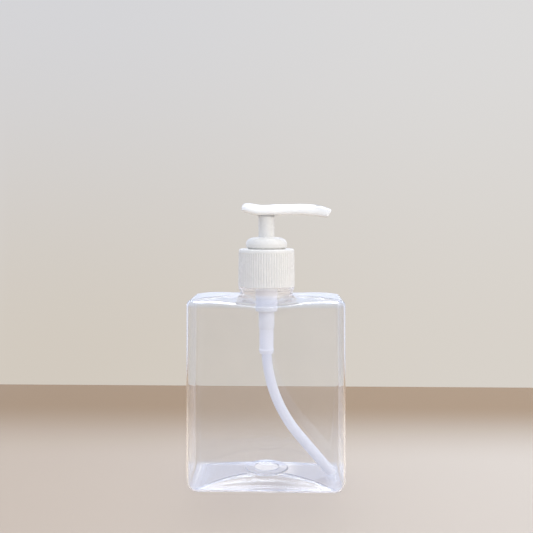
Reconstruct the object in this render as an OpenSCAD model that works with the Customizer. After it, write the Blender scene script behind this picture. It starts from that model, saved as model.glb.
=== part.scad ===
// Clear square-shouldered bottle with a ribbed screw closure and a press-down lotion pump.
// The origin is on the table under the pump axis: +X is the way the spout points,
// -Y is the wide front face and +Z is up.

/* [Bottle] */
// Width of the bottle across its wide front face
bottle_width = 85.2; // [70:0.2:130]
// Depth of the bottle from front face to back face
bottle_depth = 43; // [38:0.5:90]
// Height of the shoulder where it meets the front and back faces
shoulder_height = 101.2; // [85:0.2:180]
// Rise of the shoulder from its edge to the foot of the neck
shoulder_crown = 1.7; // [0.5:0.1:4]
// Thickness of the blown wall
bottle_wall = 0.7; // [0.5:0.1:1.5]
// Radius of the four upright corners
upright_corner_r = 6; // [3:0.5:12]
// Radius from the shoulder into the narrow sides
shoulder_side_r = 3; // [2:0.5:12]
// Radius from the shoulder into the front and back faces
shoulder_front_r = 5; // [2:0.5:10]
// Radius from the walls into the base
heel_r = 5; // [2:0.5:8]

/* [Base] */
// Height of the vaulted push-up, measured on its underside
vault_rise = 5.7; // [3:0.1:8]
// Thickness of the push-up
vault_wall = 0.9; // [0.6:0.1:2]
// Width of the resting rim inside the heel radius
foot_rim = 0.8; // [0.5:0.1:3]
// Radius of the round pad in the middle of the push-up
pad_r = 11.7; // [8:0.1:14]
// Height of the pad above the top of the vault
pad_lift = 0.3; // [0.1:0.1:1]
// Radius of the shallow dimple in the pad
dimple_r = 7; // [3:0.1:7.5]
// Depth of the dimple
dimple_depth = 0.6; // [0.2:0.1:0.8]

/* [Neck] */
// Outer radius of the neck wall
neck_r = 12.6; // [11:0.1:16]
// Thickness of the neck wall
neck_wall = 1.7; // [1:0.1:2.5]
// Height of the neck that shows under the closure
neck_show = 4.3; // [3.6:0.1:8]
// Height of the screw thread's crest above the neck wall
thread_height = 1.1; // [0.6:0.1:1.5]
// Rise of the screw thread in one turn
thread_pitch = 4.23; // [3:0.01:5]
// Length of the screw thread in turns
thread_turns = 1.5; // [1:0.25:2]
// Width of the support bead round the neck
bead_width = 3; // [2:0.1:4]
// Thickness of the support bead at its rim
bead_height = 1.2; // [0.8:0.1:2]
// Flare of the neck where it meets the shoulder
neck_flare = 1.8; // [0.5:0.1:3]

/* [Closure] */
// Thickness of the closure's wall under its ribs
closure_wall = 1.4; // [1:0.05:2.5]
// Height of the closure
closure_height = 20.8; // [17:0.1:26]
// Thickness of the closure's top plate
closure_top = 1.65; // [1:0.05:3]
// Number of ribs round the closure
rib_count = 68; // [40:1:90]
// Depth of the grooves between the ribs
rib_depth = 0.35; // [0.2:0.05:0.6]
// Height of the smooth band above the ribs
band_height = 1.9; // [1:0.1:4]

/* [Lock collar] */
// Radius of the domed collar on the closure
collar_r = 11.5; // [9:0.1:14]
// Height of the dome above the closure
collar_height = 6.4; // [5:0.1:12]
// Radius of the dome's upper edge
collar_edge_r = 3.2; // [1:0.1:4]
// Length of the skirt that snaps into the pump housing
skirt_length = 7.4; // [5:0.1:12]

/* [Actuator] */
// Radius of the tube under the head
down_tube_r = 4.45; // [3.9:0.05:6]
// Reach of the spout's tip from the pump axis
spout_reach = 36.2; // [25:0.2:60]
// Reach of the thumb pad behind the pump axis
thumb_reach = 13.9; // [9:0.1:20]
// Thickness of the head over the pump axis
head_thickness = 6.1; // [5.2:0.1:9]
// Width of the thumb pad
thumb_width = 16; // [12:0.2:24]
// Width of the spout where it leaves the pad
spout_width = 8.4; // [6:0.2:14]
// Radius of the passage through the spout
passage_r = 1.2; // [0.8:0.1:1.5]

/* [Pump] */
// Travel of the head when it is pressed down
stroke = 11.3; // [6:0.1:16]
// Wall thickness of the pump cylinder
cylinder_wall = 0.9; // [0.7:0.05:1.5]
// Width of the gap between the pump housing's cup and the neck
cup_gap = 1.9; // [1:0.1:2.2]
// Wall thickness of the housing's cup
cup_wall = 1.3; // [0.8:0.1:1.6]
// Length of the valve chamber under the cylinder
chamber_length = 9.4; // [9:0.1:16]
// Wall thickness of the socket that holds the dip tube
socket_wall = 1.05; // [0.7:0.05:2]
// Length of the socket
socket_length = 14; // [8:0.1:24]
// Radius of the inlet ball
ball_r = 2.2; // [1.8:0.05:2.4]
// Lift of the inlet ball off its seat
ball_lift = 1.5; // [0.5:0.1:2]
// Outer radius of the hollow stem
stem_r = 2.8; // [2.5:0.05:3.2]
// Bore radius of the hollow stem
stem_bore_r = 1.7; // [1.2:0.05:2]
// Height of the piston
piston_height = 6; // [4:0.1:8]
// Free travel of the piston on the stem
piston_float = 1.2; // [0.5:0.1:2]
// Wire radius of the return spring
spring_wire_r = 0.36; // [0.25:0.01:0.45]
// Mean radius of the return spring's coils
spring_r = 3.9; // [3.4:0.05:4.2]
// Number of coils in the return spring
spring_coils = 6; // [4:0.5:6]

/* [Dip tube] */
// Outer radius of the dip tube
tube_r = 2.8; // [2.3:0.05:3.2]
// Wall thickness of the dip tube
tube_wall = 0.7; // [0.4:0.05:1]
// Length of the dip tube's straight lower stretch
tube_straight = 27; // [10:1:40]
// Height of the middle of the dip tube's lower end above the table
tube_end_height = 3.6; // [3:0.1:12]
// Distance from the middle of the dip tube's lower end to the side of the bottle
tube_end_gap = 6.4; // [5:0.1:14]
// Angle between the dip tube's end cut and a square cut
tube_cut_angle = 25; // [0:1:35]

/* [Hidden] */

$fn = 96;
corner_steps = 8;        // straight pieces in a quarter round of an outline
crown_steps = 12;        // straight pieces across the crown of the shoulder
curve_steps = 8;         // straight pieces between two knots of a curve
cut = 1;                 // how far a cutting shape runs past what it cuts
large = 400;             // longer than any part of the object

// Clearances
fit_gap = 0.05;          // between pieces that are pushed or snapped together
slide_gap = 0.08;        // round a piece that slides or turns in a bore
free_gap = 0.3;          // between pieces that move past each other
face_gap = 0.05;         // between flat faces of pieces that turn on each other
stop_gap = 0.5;          // between the head and the collar when the head is fully down

// Heights, from the table up
crown_height = shoulder_height + shoulder_crown;
closure_bottom = crown_height + neck_show;
closure_top_height = closure_bottom + closure_height;
gasket_thickness = 1;
flange_thickness = 1.7;
flange_top = closure_top_height - closure_top - face_gap;
flange_bottom = flange_top - flange_thickness;
neck_top = flange_bottom - gasket_thickness;
collar_bottom = closure_top_height + face_gap;
collar_top = collar_bottom + collar_height;
head_bottom = collar_top + stroke + stop_gap;

// Neck and closure
bead_gap = 0.2;          // between the bead and the closure
neck_bore_r = neck_r - neck_wall;
neck_foot_r = neck_r + neck_flare;
bead_r = neck_r + bead_width;
bead_top = closure_bottom - bead_gap;
thread_crest_r = neck_r + thread_height;
thread_gap = 0.25;
thread_base_width = 2.2;
thread_crest_width = 0.9;
thread_segments = 36;    // straight pieces in one turn of a thread
thread_sink = 0.35;      // how far a thread's root is sunk in the wall that carries it
thread_end = 2.2;        // distance from the top of the neck to the end of its thread
thread_drop = 1.65;      // how far the closure's thread lies under the bottle's
thread_start = neck_top - thread_end - thread_turns * thread_pitch;
closure_bore_r = thread_crest_r + thread_gap;
closure_r = closure_bore_r + closure_wall + rib_depth;
flange_r = neck_r - 0.1;

// Pump radii
tube_space = 0.75;       // between the head's tube and the pump cylinder
cylinder_bore_r = down_tube_r + tube_space;
cylinder_r = cylinder_bore_r + cylinder_wall;
cup_r = neck_bore_r - cup_gap;
cup_bore_r = cup_r - cup_wall;
skirt_r = cup_bore_r - fit_gap;
skirt_bore_r = cylinder_bore_r + free_gap;
guide_r = down_tube_r + slide_gap;
socket_bore_r = tube_r + fit_gap;
socket_r = socket_bore_r + socket_wall;
chamber_ledge = 0.45;    // step from the socket out to the valve chamber
chamber_r = socket_r + chamber_ledge;
chamber_bore_r = chamber_r - socket_wall;
orifice_r = 1.5;

// Pump heights, from the collar's skirt down
floor_thickness = 1.2;   // of the floors of the cup and the cylinder, and of the stem plug
skirt_bottom = collar_bottom - skirt_length;
cup_floor = skirt_bottom - free_gap;
piston_top = cup_floor - free_gap - piston_float;
piston_bottom = piston_top - piston_height;
drive_bottom = piston_top + piston_float + free_gap;
drive_height = 1;
drive_top = drive_bottom + drive_height;
plug_top = piston_bottom - face_gap;
plug_bottom = plug_top - floor_thickness;
spring_closed = 2 * spring_wire_r * (spring_coils + 1);
spring_bottom = plug_bottom - stroke - spring_closed;
cage_ring = 0.8;
cylinder_floor = spring_bottom - cage_ring;
chamber_top = cylinder_floor - floor_thickness;
chamber_bottom = chamber_top - chamber_length;
socket_bottom = chamber_bottom - socket_length;
seat_height = 2.2;
seat_lift = 0.4;         // how far the seat lies above the foot of the chamber
seat_bottom = chamber_bottom + seat_lift;
socket_top = chamber_bottom - floor_thickness;
stem_top = head_bottom - 2.8;
socket_grip = 3.5;       // length of the dip tube that stays upright inside the socket's mouth

// Inlet ball, resting just clear of its conical seat
seat_slope = (chamber_bore_r - orifice_r) / seat_height;
ball_height = seat_bottom + (ball_r * sqrt(1 + seat_slope * seat_slope) - orifice_r) / seat_slope
              + fit_gap;

// Dip tube: a bend that meets a straight stretch, from the socket to the corner of the base
tube_bore_r = tube_r - tube_wall;
tube_end_x = bottle_width / 2 - tube_end_gap;
tube_bend_top = socket_bottom + socket_grip;
tube_fall = tube_bend_top - tube_end_height;
tube_angle = 2 * atan(tube_end_x / (tube_fall + tube_straight));
tube_bend_r = (tube_fall - tube_straight * cos(tube_angle)) / sin(tube_angle);

// Head: knots of its side view as [distance from the axis, height above the underside at the axis]
// and of its top view as [distance from the axis, half width]
passage_height = head_bottom + 0.53 * head_thickness;
passage_drop = 0.28 * head_thickness;
head_crown = [[-thumb_reach, 0.7], [-0.94 * thumb_reach, 1.04], [-0.79 * thumb_reach, 1.155],
              [-0.35 * thumb_reach, 1.03], [0.02 * spout_reach, 1.0], [0.25 * spout_reach, 1.075],
              [0.56 * spout_reach, 1.085], [0.8 * spout_reach, 0.98], [spout_reach, 0.55]];
head_belly = [[-thumb_reach, 0.7], [-0.92 * thumb_reach, 0.42], [-0.6 * thumb_reach, 0.14],
              [-0.25 * thumb_reach, 0], [0.14 * spout_reach, 0.03], [0.5 * spout_reach, 0.09],
              [0.78 * spout_reach, 0], [0.935 * spout_reach, -0.14]];
head_plan = [[-thumb_reach, 0.3 * thumb_width / 2], [-0.9 * thumb_reach, 0.68 * thumb_width / 2],
             [-0.5 * thumb_reach, thumb_width / 2], [0.05 * spout_reach, 0.95 * thumb_width / 2],
             [0.36 * spout_reach, spout_width / 2], [0.7 * spout_reach, 0.44 * spout_width],
             [spout_reach, 0.38 * spout_width]];

// Points along a circular arc
function arc_points(centre, r, from, to, steps = corner_steps) =
    [for (i = [0:steps]) let (a = from + (to - from) * i / steps)
        centre + r * [cos(a), sin(a)]];

// Point on a smooth curve through four knots, between the middle two
function curve_point(a, b, c, d, t) =
    0.5 * (2 * b + (c - a) * t + (2 * a - 5 * b + 4 * c - d) * t * t
    + (3 * b - a - 3 * c + d) * t * t * t);

// Points of a smooth curve through all the knots
function curve_points(knots, steps = curve_steps) = let (last = len(knots) - 1)
    [for (i = [0:last - 1], j = [0:steps - 1])
        curve_point(knots[max(i - 1, 0)], knots[i], knots[i + 1], knots[min(i + 2, last)], j / steps),
     knots[last]];

// Outline with two lower and two upper round corners and a crowned top edge
function upright_outline(half_width, bottom, top, crown, lower_r, upper_r) =
    let (flat = half_width - upper_r)
    concat(arc_points([half_width - lower_r, bottom + lower_r], lower_r, -90, 0),
           arc_points([flat, top - upper_r], upper_r, 0, 90),
           [for (i = [1:crown_steps - 1]) let (x = flat * (1 - 2 * i / crown_steps))
               [x, top + crown * (1 - (x / flat) * (x / flat))]],
           arc_points([-flat, top - upper_r], upper_r, 90, 180),
           arc_points([lower_r - half_width, bottom + lower_r], lower_r, 180, 270));

// Outline of the bottle seen from above
function plan_outline(half_width, half_depth, r) =
    let (x = half_width - r, y = half_depth - r)
    concat(arc_points([x, y], r, 0, 90), arc_points([-x, y], r, 90, 180),
           arc_points([-x, -y], r, 180, 270), arc_points([x, -y], r, 270, 360));

// Body of the bottle, drawn in by an even distance on every face
module bottle_block(inset) {
    half_width = bottle_width / 2 - inset;
    half_depth = bottle_depth / 2 - inset;
    top = shoulder_height - inset;
    intersection() {
        rotate([90, 0, 0])
            linear_extrude(height = large, center = true)
                polygon(upright_outline(half_width, inset, top, shoulder_crown,
                                        heel_r - inset, shoulder_side_r - inset));
        rotate([90, 0, 90])
            linear_extrude(height = large, center = true)
                polygon(upright_outline(half_depth, inset, top, shoulder_crown,
                                        heel_r - inset, shoulder_front_r - inset));
        linear_extrude(height = large)
            polygon(plan_outline(half_width, half_depth, upright_corner_r - inset));
    }
}

// Space under the push-up: a vault across the width, with sloping front and back;
// a thicker one leaves the push-up's wall between the two
module vault(thicker) {
    half_span = bottle_width / 2 - heel_r - foot_rim;
    half_depth = bottle_depth / 2 - heel_r - foot_rim;
    arch_r = (half_span * half_span + vault_rise * vault_rise) / (2 * vault_rise);
    intersection() {
        translate([0, 0, vault_rise - arch_r])
            rotate([90, 0, 0])
                cylinder(r = arch_r + thicker, h = large, center = true, $fn = 360);
        rotate([90, 0, 90])
            linear_extrude(height = large, center = true)
                polygon([[-half_depth - thicker, -cut], [half_depth + thicker, -cut],
                         [half_depth + thicker, thicker / 2],
                         [pad_r + thicker / 2, vault_rise + thicker + cut],
                         [-pad_r - thicker / 2, vault_rise + thicker + cut],
                         [-half_depth - thicker, thicker / 2]]);
    }
}

// Ring of points of a thread's profile at one angle; the thread fades out at both ends
function thread_ring(root_r, crest_r, start, i, total) =
    let (turn = i / thread_segments, a = 360 * turn, z = start + thread_pitch * turn,
         fade = min(1, 6 * i / thread_segments + 0.05, 6 * (total - i) / thread_segments + 0.05),
         r = root_r + (crest_r - root_r) * fade)
    [[root_r * cos(a), root_r * sin(a), z - thread_base_width / 2],
     [r * cos(a), r * sin(a), z - thread_crest_width / 2],
     [r * cos(a), r * sin(a), z + thread_crest_width / 2],
     [root_r * cos(a), root_r * sin(a), z + thread_base_width / 2]];

// Right-handed thread from a root radius out, or in, to a crest radius
module thread(root_r, crest_r, start, turns) {
    total = round(turns * thread_segments);
    points = [for (i = [0:total]) each thread_ring(root_r, crest_r, start, i, total)];
    sides = [for (i = [0:total - 1], j = [0:3]) let (a = 4 * i + j, b = 4 * i + (j + 1) % 4)
        each [[a, b, b + 4], [a, b + 4, a + 4]]];
    first = [[0, 2, 1], [0, 3, 2]];
    end = 4 * total;
    last = [[end, end + 1, end + 2], [end, end + 2, end + 3]];
    faces = concat(sides, first, last);
    polyhedron(points, crest_r < root_r ? [for (f = faces) [f[0], f[2], f[1]]] : faces);
}

// Blown bottle: walls, shoulder, neck with its bead and thread, and vaulted base
module bottle() {
    neck_sink = 4;
    foot_band = 0.3;
    color([0.86, 0.90, 0.94, 0.35])
        union() {
            difference() {
                union() {
                    bottle_block(0);
                    rotate_extrude()
                        polygon([[0, crown_height - neck_sink], [neck_foot_r, crown_height - neck_sink],
                                 [neck_foot_r, crown_height + foot_band],
                                 [bead_r, bead_top - bead_height], [bead_r, bead_top],
                                 [neck_r, bead_top], [neck_r, neck_top], [0, neck_top]]);
                }
                difference() {
                    bottle_block(bottle_wall);
                    vault(vault_wall);
                    cylinder(r = pad_r, h = vault_rise + vault_wall + pad_lift);
                }
                vault(0);
                translate([0, 0, vault_rise + vault_wall + pad_lift - dimple_depth])
                    cylinder(r = dimple_r, h = dimple_depth + cut);
                translate([0, 0, shoulder_height - bottle_wall - cut])
                    cylinder(r = neck_bore_r, h = neck_top - shoulder_height + bottle_wall + 2 * cut);
            }
            thread(neck_r - thread_sink, thread_crest_r, thread_start, thread_turns);
        }
}

// Screw closure with a ribbed wall, an inner thread and a hole for the pump
module closure() {
    groove_r = closure_r - rib_depth;
    edge_r = 1.1;
    band_r = closure_r - edge_r / 4;
    rib_angle = 360 / rib_count;
    crest = 0.3;
    profile = [[0, closure_r], [crest, closure_r], [0.5, groove_r], [0.5 + crest, groove_r]];
    color([0.95, 0.95, 0.94])
        union() {
            difference() {
                union() {
                    translate([0, 0, closure_bottom])
                        linear_extrude(height = closure_height - band_height)
                            polygon([for (i = [0:rib_count - 1], p = profile)
                                p[1] * [cos((i + p[0]) * rib_angle), sin((i + p[0]) * rib_angle)]]);
                    rotate_extrude()
                        polygon(concat([[0, closure_top_height - band_height - cut],
                                        [band_r, closure_top_height - band_height - cut]],
                                       arc_points([band_r - edge_r, closure_top_height - edge_r],
                                                  edge_r, 0, 90),
                                       [[0, closure_top_height]]));
                }
                translate([0, 0, closure_bottom - cut])
                    cylinder(r = closure_bore_r, h = closure_height - closure_top + cut);
                translate([0, 0, closure_bottom])
                    cylinder(r = skirt_r + free_gap, h = closure_height + cut);
            }
            thread(closure_bore_r + thread_sink, neck_r + thread_gap, thread_start - thread_drop,
                   thread_turns);
        }
}

// Flat sealing ring between the neck and the pump's flange
module gasket() {
    color([0.93, 0.93, 0.90])
        translate([0, 0, neck_top])
            difference() {
                cylinder(r = flange_r, h = gasket_thickness);
                translate([0, 0, -cut])
                    cylinder(r = cup_r + fit_gap, h = gasket_thickness + 2 * cut);
            }
}

// Domed collar that snaps into the housing, holds the closure and guides the head
module lock_collar() {
    lip = 0.5;
    dome_rise = 0.4;
    foot = 0.5;
    guide_bottom = collar_bottom - closure_top;
    color([0.96, 0.96, 0.95])
        rotate_extrude()
            polygon(concat([[guide_r, guide_bottom], [guide_r, collar_top],
                            [guide_r + lip, collar_top]],
                           arc_points([collar_r - collar_edge_r,
                                       collar_top - dome_rise - collar_edge_r],
                                      collar_edge_r, 80, 0),
                           [[collar_r, collar_bottom + 2 * foot], [collar_r - foot, collar_bottom],
                            [skirt_r, collar_bottom], [skirt_r, skirt_bottom],
                            [skirt_bore_r, skirt_bottom],
                            [skirt_bore_r, guide_bottom - skirt_bore_r + guide_r]]));
}

// Press-down head with its spout and the tube that runs down through the collar
module actuator() {
    crown = [for (p = curve_points(head_crown)) [p[0], head_bottom + p[1] * head_thickness]];
    belly = [for (p = curve_points(head_belly)) [p[0], head_bottom + p[1] * head_thickness]];
    plan = curve_points(head_plan);
    color([0.97, 0.97, 0.96])
        difference() {
            union() {
                intersection() {
                    rotate([90, 0, 0])
                        linear_extrude(height = 2 * thumb_width, center = true)
                            polygon(concat(crown, [for (i = [len(belly) - 1:-1:1]) belly[i]]));
                    translate([0, 0, head_bottom - head_thickness])
                        linear_extrude(height = 3 * head_thickness)
                            polygon(concat(plan, [for (i = [len(plan) - 1:-1:0])
                                [plan[i][0], -plan[i][1]]]));
                }
                translate([0, 0, drive_top])
                    cylinder(r = down_tube_r, h = head_bottom - drive_top + head_thickness / 4);
            }
            translate([0, 0, drive_top - cut])
                cylinder(r = stem_r + fit_gap, h = stem_top - drive_top + cut + face_gap);
            translate([0, 0, drive_top])
                cylinder(r = stem_bore_r, h = passage_height - drive_top);
            translate([0, 0, passage_height])
                rotate([0, 90 + atan(passage_drop / spout_reach), 0])
                    cylinder(r = passage_r, h = spout_reach + 4 * cut);
            translate([0, 0, passage_height])
                sphere(r = stem_bore_r);
        }
}

// Hollow stem with its drive shoulder and four ports at its foot
module stem() {
    port_r = 0.6;
    drive_r = stem_r + 1;
    color([0.95, 0.95, 0.94])
        difference() {
            rotate_extrude()
                polygon([[stem_bore_r, plug_top + face_gap], [stem_r, plug_top + face_gap],
                         [stem_r, drive_bottom], [drive_r, drive_bottom], [drive_r, drive_top],
                         [stem_r, drive_top], [stem_r, stem_top], [stem_bore_r, stem_top]]);
            for (a = [0, 90])
                translate([0, 0, plug_top + 2 * port_r])
                    rotate([0, 90, a])
                        cylinder(r = port_r, h = 4 * stem_r, center = true);
        }
}

// Plug that closes the stem's foot, seals against the piston and takes the spring
module stem_plug() {
    spigot_length = 3;
    slot_width = 1;
    slot_lift = 0.6;
    boss_length = 1.6;
    boss_r = spring_r - 2 * spring_wire_r - slide_gap;
    color([0.90, 0.90, 0.88])
        difference() {
            union() {
                translate([0, 0, plug_bottom])
                    cylinder(r = spring_r + 2 * spring_wire_r, h = floor_thickness);
                translate([0, 0, plug_top])
                    cylinder(r = stem_bore_r - fit_gap, h = spigot_length);
                translate([0, 0, plug_bottom - boss_length])
                    cylinder(r = boss_r, h = boss_length);
            }
            for (a = [0, 90])
                rotate([0, 0, a])
                    translate([-stem_r, -slot_width / 2, plug_top + slot_lift])
                        cube([2 * stem_r, slot_width, spigot_length]);
        }
}

// Soft piston with an upper and a lower lip
module piston() {
    lip_r = cylinder_bore_r - slide_gap;
    bore_r = stem_r + slide_gap;
    body_r = (lip_r + bore_r) / 2 + 0.3;
    lip = 1.1;
    edge = 0.4;
    relief = 0.5;
    relief_height = 2.2;
    top = piston_height;
    color([0.90, 0.92, 0.93])
        translate([0, 0, piston_bottom])
            rotate_extrude()
                polygon([[bore_r + relief, 0], [body_r - edge, 0], [body_r, lip], [lip_r, edge / 2],
                         [lip_r, lip + edge], [body_r, lip + 2 * edge],
                         [body_r, top - lip - 2 * edge], [lip_r, top - lip - edge],
                         [lip_r, top - edge / 2], [body_r, top - lip], [body_r - edge, top],
                         [bore_r, top], [bore_r, relief_height],
                         [bore_r + relief, relief_height - relief]]);
}

// Ring of wire points at one place along the spring
function wire_ring(i, rings, length, sides) =
    let (turn = spring_coils * i / rings, a = 360 * turn, z = spring_wire_r + length * i / rings)
    [for (k = [0:sides - 1]) let (b = 360 * k / sides, r = spring_r + spring_wire_r * cos(b))
        [r * cos(a), r * sin(a), z + spring_wire_r * sin(b)]];

// Steel return spring between the cage ring and the stem plug
module return_spring() {
    sides = 6;
    rings = round(16 * spring_coils);
    length = plug_bottom - spring_bottom - 2 * spring_wire_r - 2 * face_gap;
    points = [for (i = [0:rings]) each wire_ring(i, rings, length, sides)];
    skin = [for (i = [0:rings - 1], j = [0:sides - 1])
        let (a = sides * i + j, b = sides * i + (j + 1) % sides)
        each [[a, b + sides, b], [a, a + sides, b + sides]]];
    first = [for (j = [1:sides - 2]) [0, j, j + 1]];
    end = sides * rings;
    last = [for (j = [1:sides - 2]) [end, end + j + 1, end + j]];
    color([0.70, 0.71, 0.73])
        translate([0, 0, spring_bottom + face_gap])
            polyhedron(points, concat(skin, first, last));
}

// Pump body: flange and cup, cylinder, valve chamber with its seat, and dip-tube socket
module pump_housing() {
    vent_r = 0.5;
    lead_in = 0.4;
    cup_base = cup_floor - floor_thickness;
    color([0.88, 0.89, 0.94, 0.8])
        difference() {
            rotate_extrude()
                polygon([[cup_bore_r, flange_top], [flange_r, flange_top],
                         [flange_r, flange_bottom], [cup_r, flange_bottom],
                         [cup_r, cup_base], [cylinder_r, cup_base - floor_thickness],
                         [cylinder_r, chamber_top], [chamber_r, chamber_top],
                         [chamber_r, chamber_bottom], [socket_r, chamber_bottom - chamber_ledge],
                         [socket_r, socket_bottom], [socket_bore_r + lead_in, socket_bottom],
                         [socket_bore_r, socket_bottom + 3 * lead_in],
                         [socket_bore_r, socket_top], [orifice_r, socket_top],
                         [orifice_r, seat_bottom], [chamber_bore_r, seat_bottom + seat_height],
                         [chamber_bore_r, cylinder_floor], [cylinder_bore_r, cylinder_floor],
                         [cylinder_bore_r, cup_floor], [cup_bore_r, cup_floor]]);
            translate([0, 0, piston_top + piston_float / 2])
                rotate([90, 0, 0])
                    cylinder(r = vent_r, h = 4 * cup_r, center = true);
        }
}

// Cage that keeps the ball near its seat and carries the foot of the spring
module ball_cage() {
    finger_width = 1;
    finger_inner_r = 0.7 * ball_r;
    finger_outer_r = chamber_bore_r - slide_gap;
    finger_bottom = ball_height + ball_r + ball_lift + free_gap;
    color([0.92, 0.92, 0.90])
        union() {
            translate([0, 0, cylinder_floor])
                difference() {
                    cylinder(r = cylinder_bore_r - fit_gap, h = cage_ring);
                    translate([0, 0, -cut])
                        cylinder(r = ball_r, h = cage_ring + 2 * cut);
                }
            for (a = [0:120:240])
                rotate([0, 0, a])
                    translate([finger_inner_r, -finger_width / 2, finger_bottom])
                        cube([finger_outer_r - finger_inner_r, finger_width,
                              cylinder_floor + cage_ring / 2 - finger_bottom]);
        }
}

// Ball of the inlet valve
module inlet_ball() {
    color([0.75, 0.76, 0.78])
        translate([0, 0, ball_height])
            sphere(r = ball_r);
}

// Dip tube: upright in its socket, then a long bend, then straight to the corner of the base
module dip_tube() {
    bend_x = tube_bend_r * (1 - cos(tube_angle));
    bend_z = tube_bend_top - tube_bend_r * sin(tube_angle);
    color([0.88, 0.89, 0.95, 0.8])
        difference() {
            union() {
                translate([0, 0, tube_bend_top])
                    tube_length(socket_top - tube_bend_top - face_gap);
                translate([tube_bend_r, 0, tube_bend_top])
                    rotate([90, 0, 0])
                        rotate([0, 0, 180])
                            rotate_extrude(angle = tube_angle)
                                translate([tube_bend_r, 0])
                                    difference() {
                                        circle(r = tube_r);
                                        circle(r = tube_bore_r);
                                    }
                translate([bend_x, 0, bend_z])
                    rotate([0, 180 - tube_angle, 0])
                        tube_length(tube_straight + 2 * tube_r);
            }
            translate([tube_end_x, 0, tube_end_height])
                rotate([0, 180 - tube_angle + tube_cut_angle, 0])
                    translate([-3 * tube_r, -2 * tube_r, 0])
                        cube([6 * tube_r, 4 * tube_r, 4 * tube_r]);
        }
}

// Straight stretch of the dip tube, with its foot lapped into the wall of the bend
module tube_length(length) {
    lap = 0.5;
    lap_step = 0.02;
    translate([0, 0, -lap])
        difference() {
            cylinder(r = tube_r - lap_step, h = length + lap);
            translate([0, 0, -cut])
                cylinder(r = tube_bore_r + lap_step, h = length + lap + 2 * cut);
        }
}

bottle();
closure();
gasket();
lock_collar();
actuator();
stem();
stem_plug();
piston();
return_spring();
pump_housing();
ball_cage();
inlet_ball();
dip_tube();
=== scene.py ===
"""Looks of a clear square-shouldered bottle with a ribbed closure and a press-down lotion pump.

Sizes are in millimetres unless a name ends in _m, and meshes are written in metres in the frame of
the CAD model: +X is the way the spout points, -Y is the wide front face and +Z is up.
"""

from __future__ import annotations

import logging
import math
from dataclasses import dataclass, field, replace
from enum import Enum

import bpy
import numpy as np
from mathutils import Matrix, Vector


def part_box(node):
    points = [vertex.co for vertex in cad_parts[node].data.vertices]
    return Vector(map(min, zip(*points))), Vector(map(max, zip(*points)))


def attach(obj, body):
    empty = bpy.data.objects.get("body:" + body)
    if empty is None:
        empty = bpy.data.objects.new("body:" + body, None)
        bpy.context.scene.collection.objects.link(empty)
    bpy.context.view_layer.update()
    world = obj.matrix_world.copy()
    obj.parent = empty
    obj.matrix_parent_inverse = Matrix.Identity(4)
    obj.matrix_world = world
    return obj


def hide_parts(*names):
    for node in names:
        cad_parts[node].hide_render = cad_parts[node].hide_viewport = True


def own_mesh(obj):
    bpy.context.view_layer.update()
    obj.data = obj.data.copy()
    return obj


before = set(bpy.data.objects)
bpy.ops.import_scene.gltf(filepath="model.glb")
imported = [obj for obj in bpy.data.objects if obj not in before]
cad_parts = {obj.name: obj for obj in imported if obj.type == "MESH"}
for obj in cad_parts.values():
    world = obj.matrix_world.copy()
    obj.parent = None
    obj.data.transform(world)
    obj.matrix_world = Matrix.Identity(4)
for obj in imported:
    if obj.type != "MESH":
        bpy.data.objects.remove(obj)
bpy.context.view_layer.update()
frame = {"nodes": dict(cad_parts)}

LOG = logging.getLogger("dispenser")
MM = 0.001
TURN = 2 * math.pi
Colour = tuple[float, float, float]
Pair = tuple[float, float]
Socket = bpy.types.NodeSocket


# ---------------------------------------------------------------- shapes as arrays


class Ends(Enum):
    """How the first and last rows of a grid of points are finished."""

    POLES = "each end row closes to one point"
    LOOP = "the last row joins the first"


@dataclass(frozen=True)
class Extent:
    """Lowest and highest corners of a CAD node."""

    low: np.ndarray
    high: np.ndarray

    @classmethod
    def of(cls, node: str) -> Extent:
        """Reads a node's box from the frame.

        Args:
            node: name of the CAD node.

        Returns:
            The box in millimetres.
        """
        low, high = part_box(node)
        return cls(np.array(low) / MM, np.array(high) / MM)

    @property
    def bottom(self) -> float:
        """Lowest height."""
        return float(self.low[2])

    @property
    def top(self) -> float:
        """Greatest height."""
        return float(self.high[2])

    @property
    def reach(self) -> float:
        """Greatest distance along +X."""
        return float(self.high[0])

    @property
    def half_depth(self) -> float:
        """Greatest distance along +Y."""
        return float(self.high[1])


def extent_of(node: str) -> Extent:
    """Field whose default is the box of a CAD node."""
    return field(default_factory=lambda: Extent.of(node))


def smooth_min(a: np.ndarray, b: np.ndarray, band: float) -> np.ndarray:
    """Lower of two heights, rounded off where they cross.

    The blend is b + (a - b) h - band h (1 - h), with h the share of b - a within the band.

    Args:
        a: first heights.
        b: second heights.
        band: width of the rounded band.

    Returns:
        The blended heights.
    """
    h = np.clip(0.5 + 0.5 * (b - a) / band, 0, 1)
    return b + (a - b) * h - band * h * (1 - h)


def smooth_max(a: np.ndarray, b: np.ndarray, band: float) -> np.ndarray:
    """Higher of two heights, rounded off in the same way over the band."""
    return -smooth_min(-np.asarray(a), -np.asarray(b), band)


def ramp(x: np.ndarray, low: float, high: float) -> np.ndarray:
    """Share from 0 at low to 1 at high, level at both ends: t t (3 - 2 t)."""
    t = np.clip((np.asarray(x, float) - low) / (high - low), 0, 1)
    return t * t * (3 - 2 * t)


def arc(centre: Pair, radius: float, start: float, end: float, steps: int = 8) -> np.ndarray:
    """Points on a circular arc, centre + radius (cos a, sin a).

    Args:
        centre: centre as (radius, height).
        radius: radius of the arc.
        start: first angle in degrees.
        end: last angle in degrees.
        steps: number of straight pieces.

    Returns:
        Points as rows of (radius, height).
    """
    a = np.radians(np.linspace(start, end, steps + 1))
    return np.column_stack([centre[0] + radius * np.cos(a), centre[1] + radius * np.sin(a)])


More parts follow.
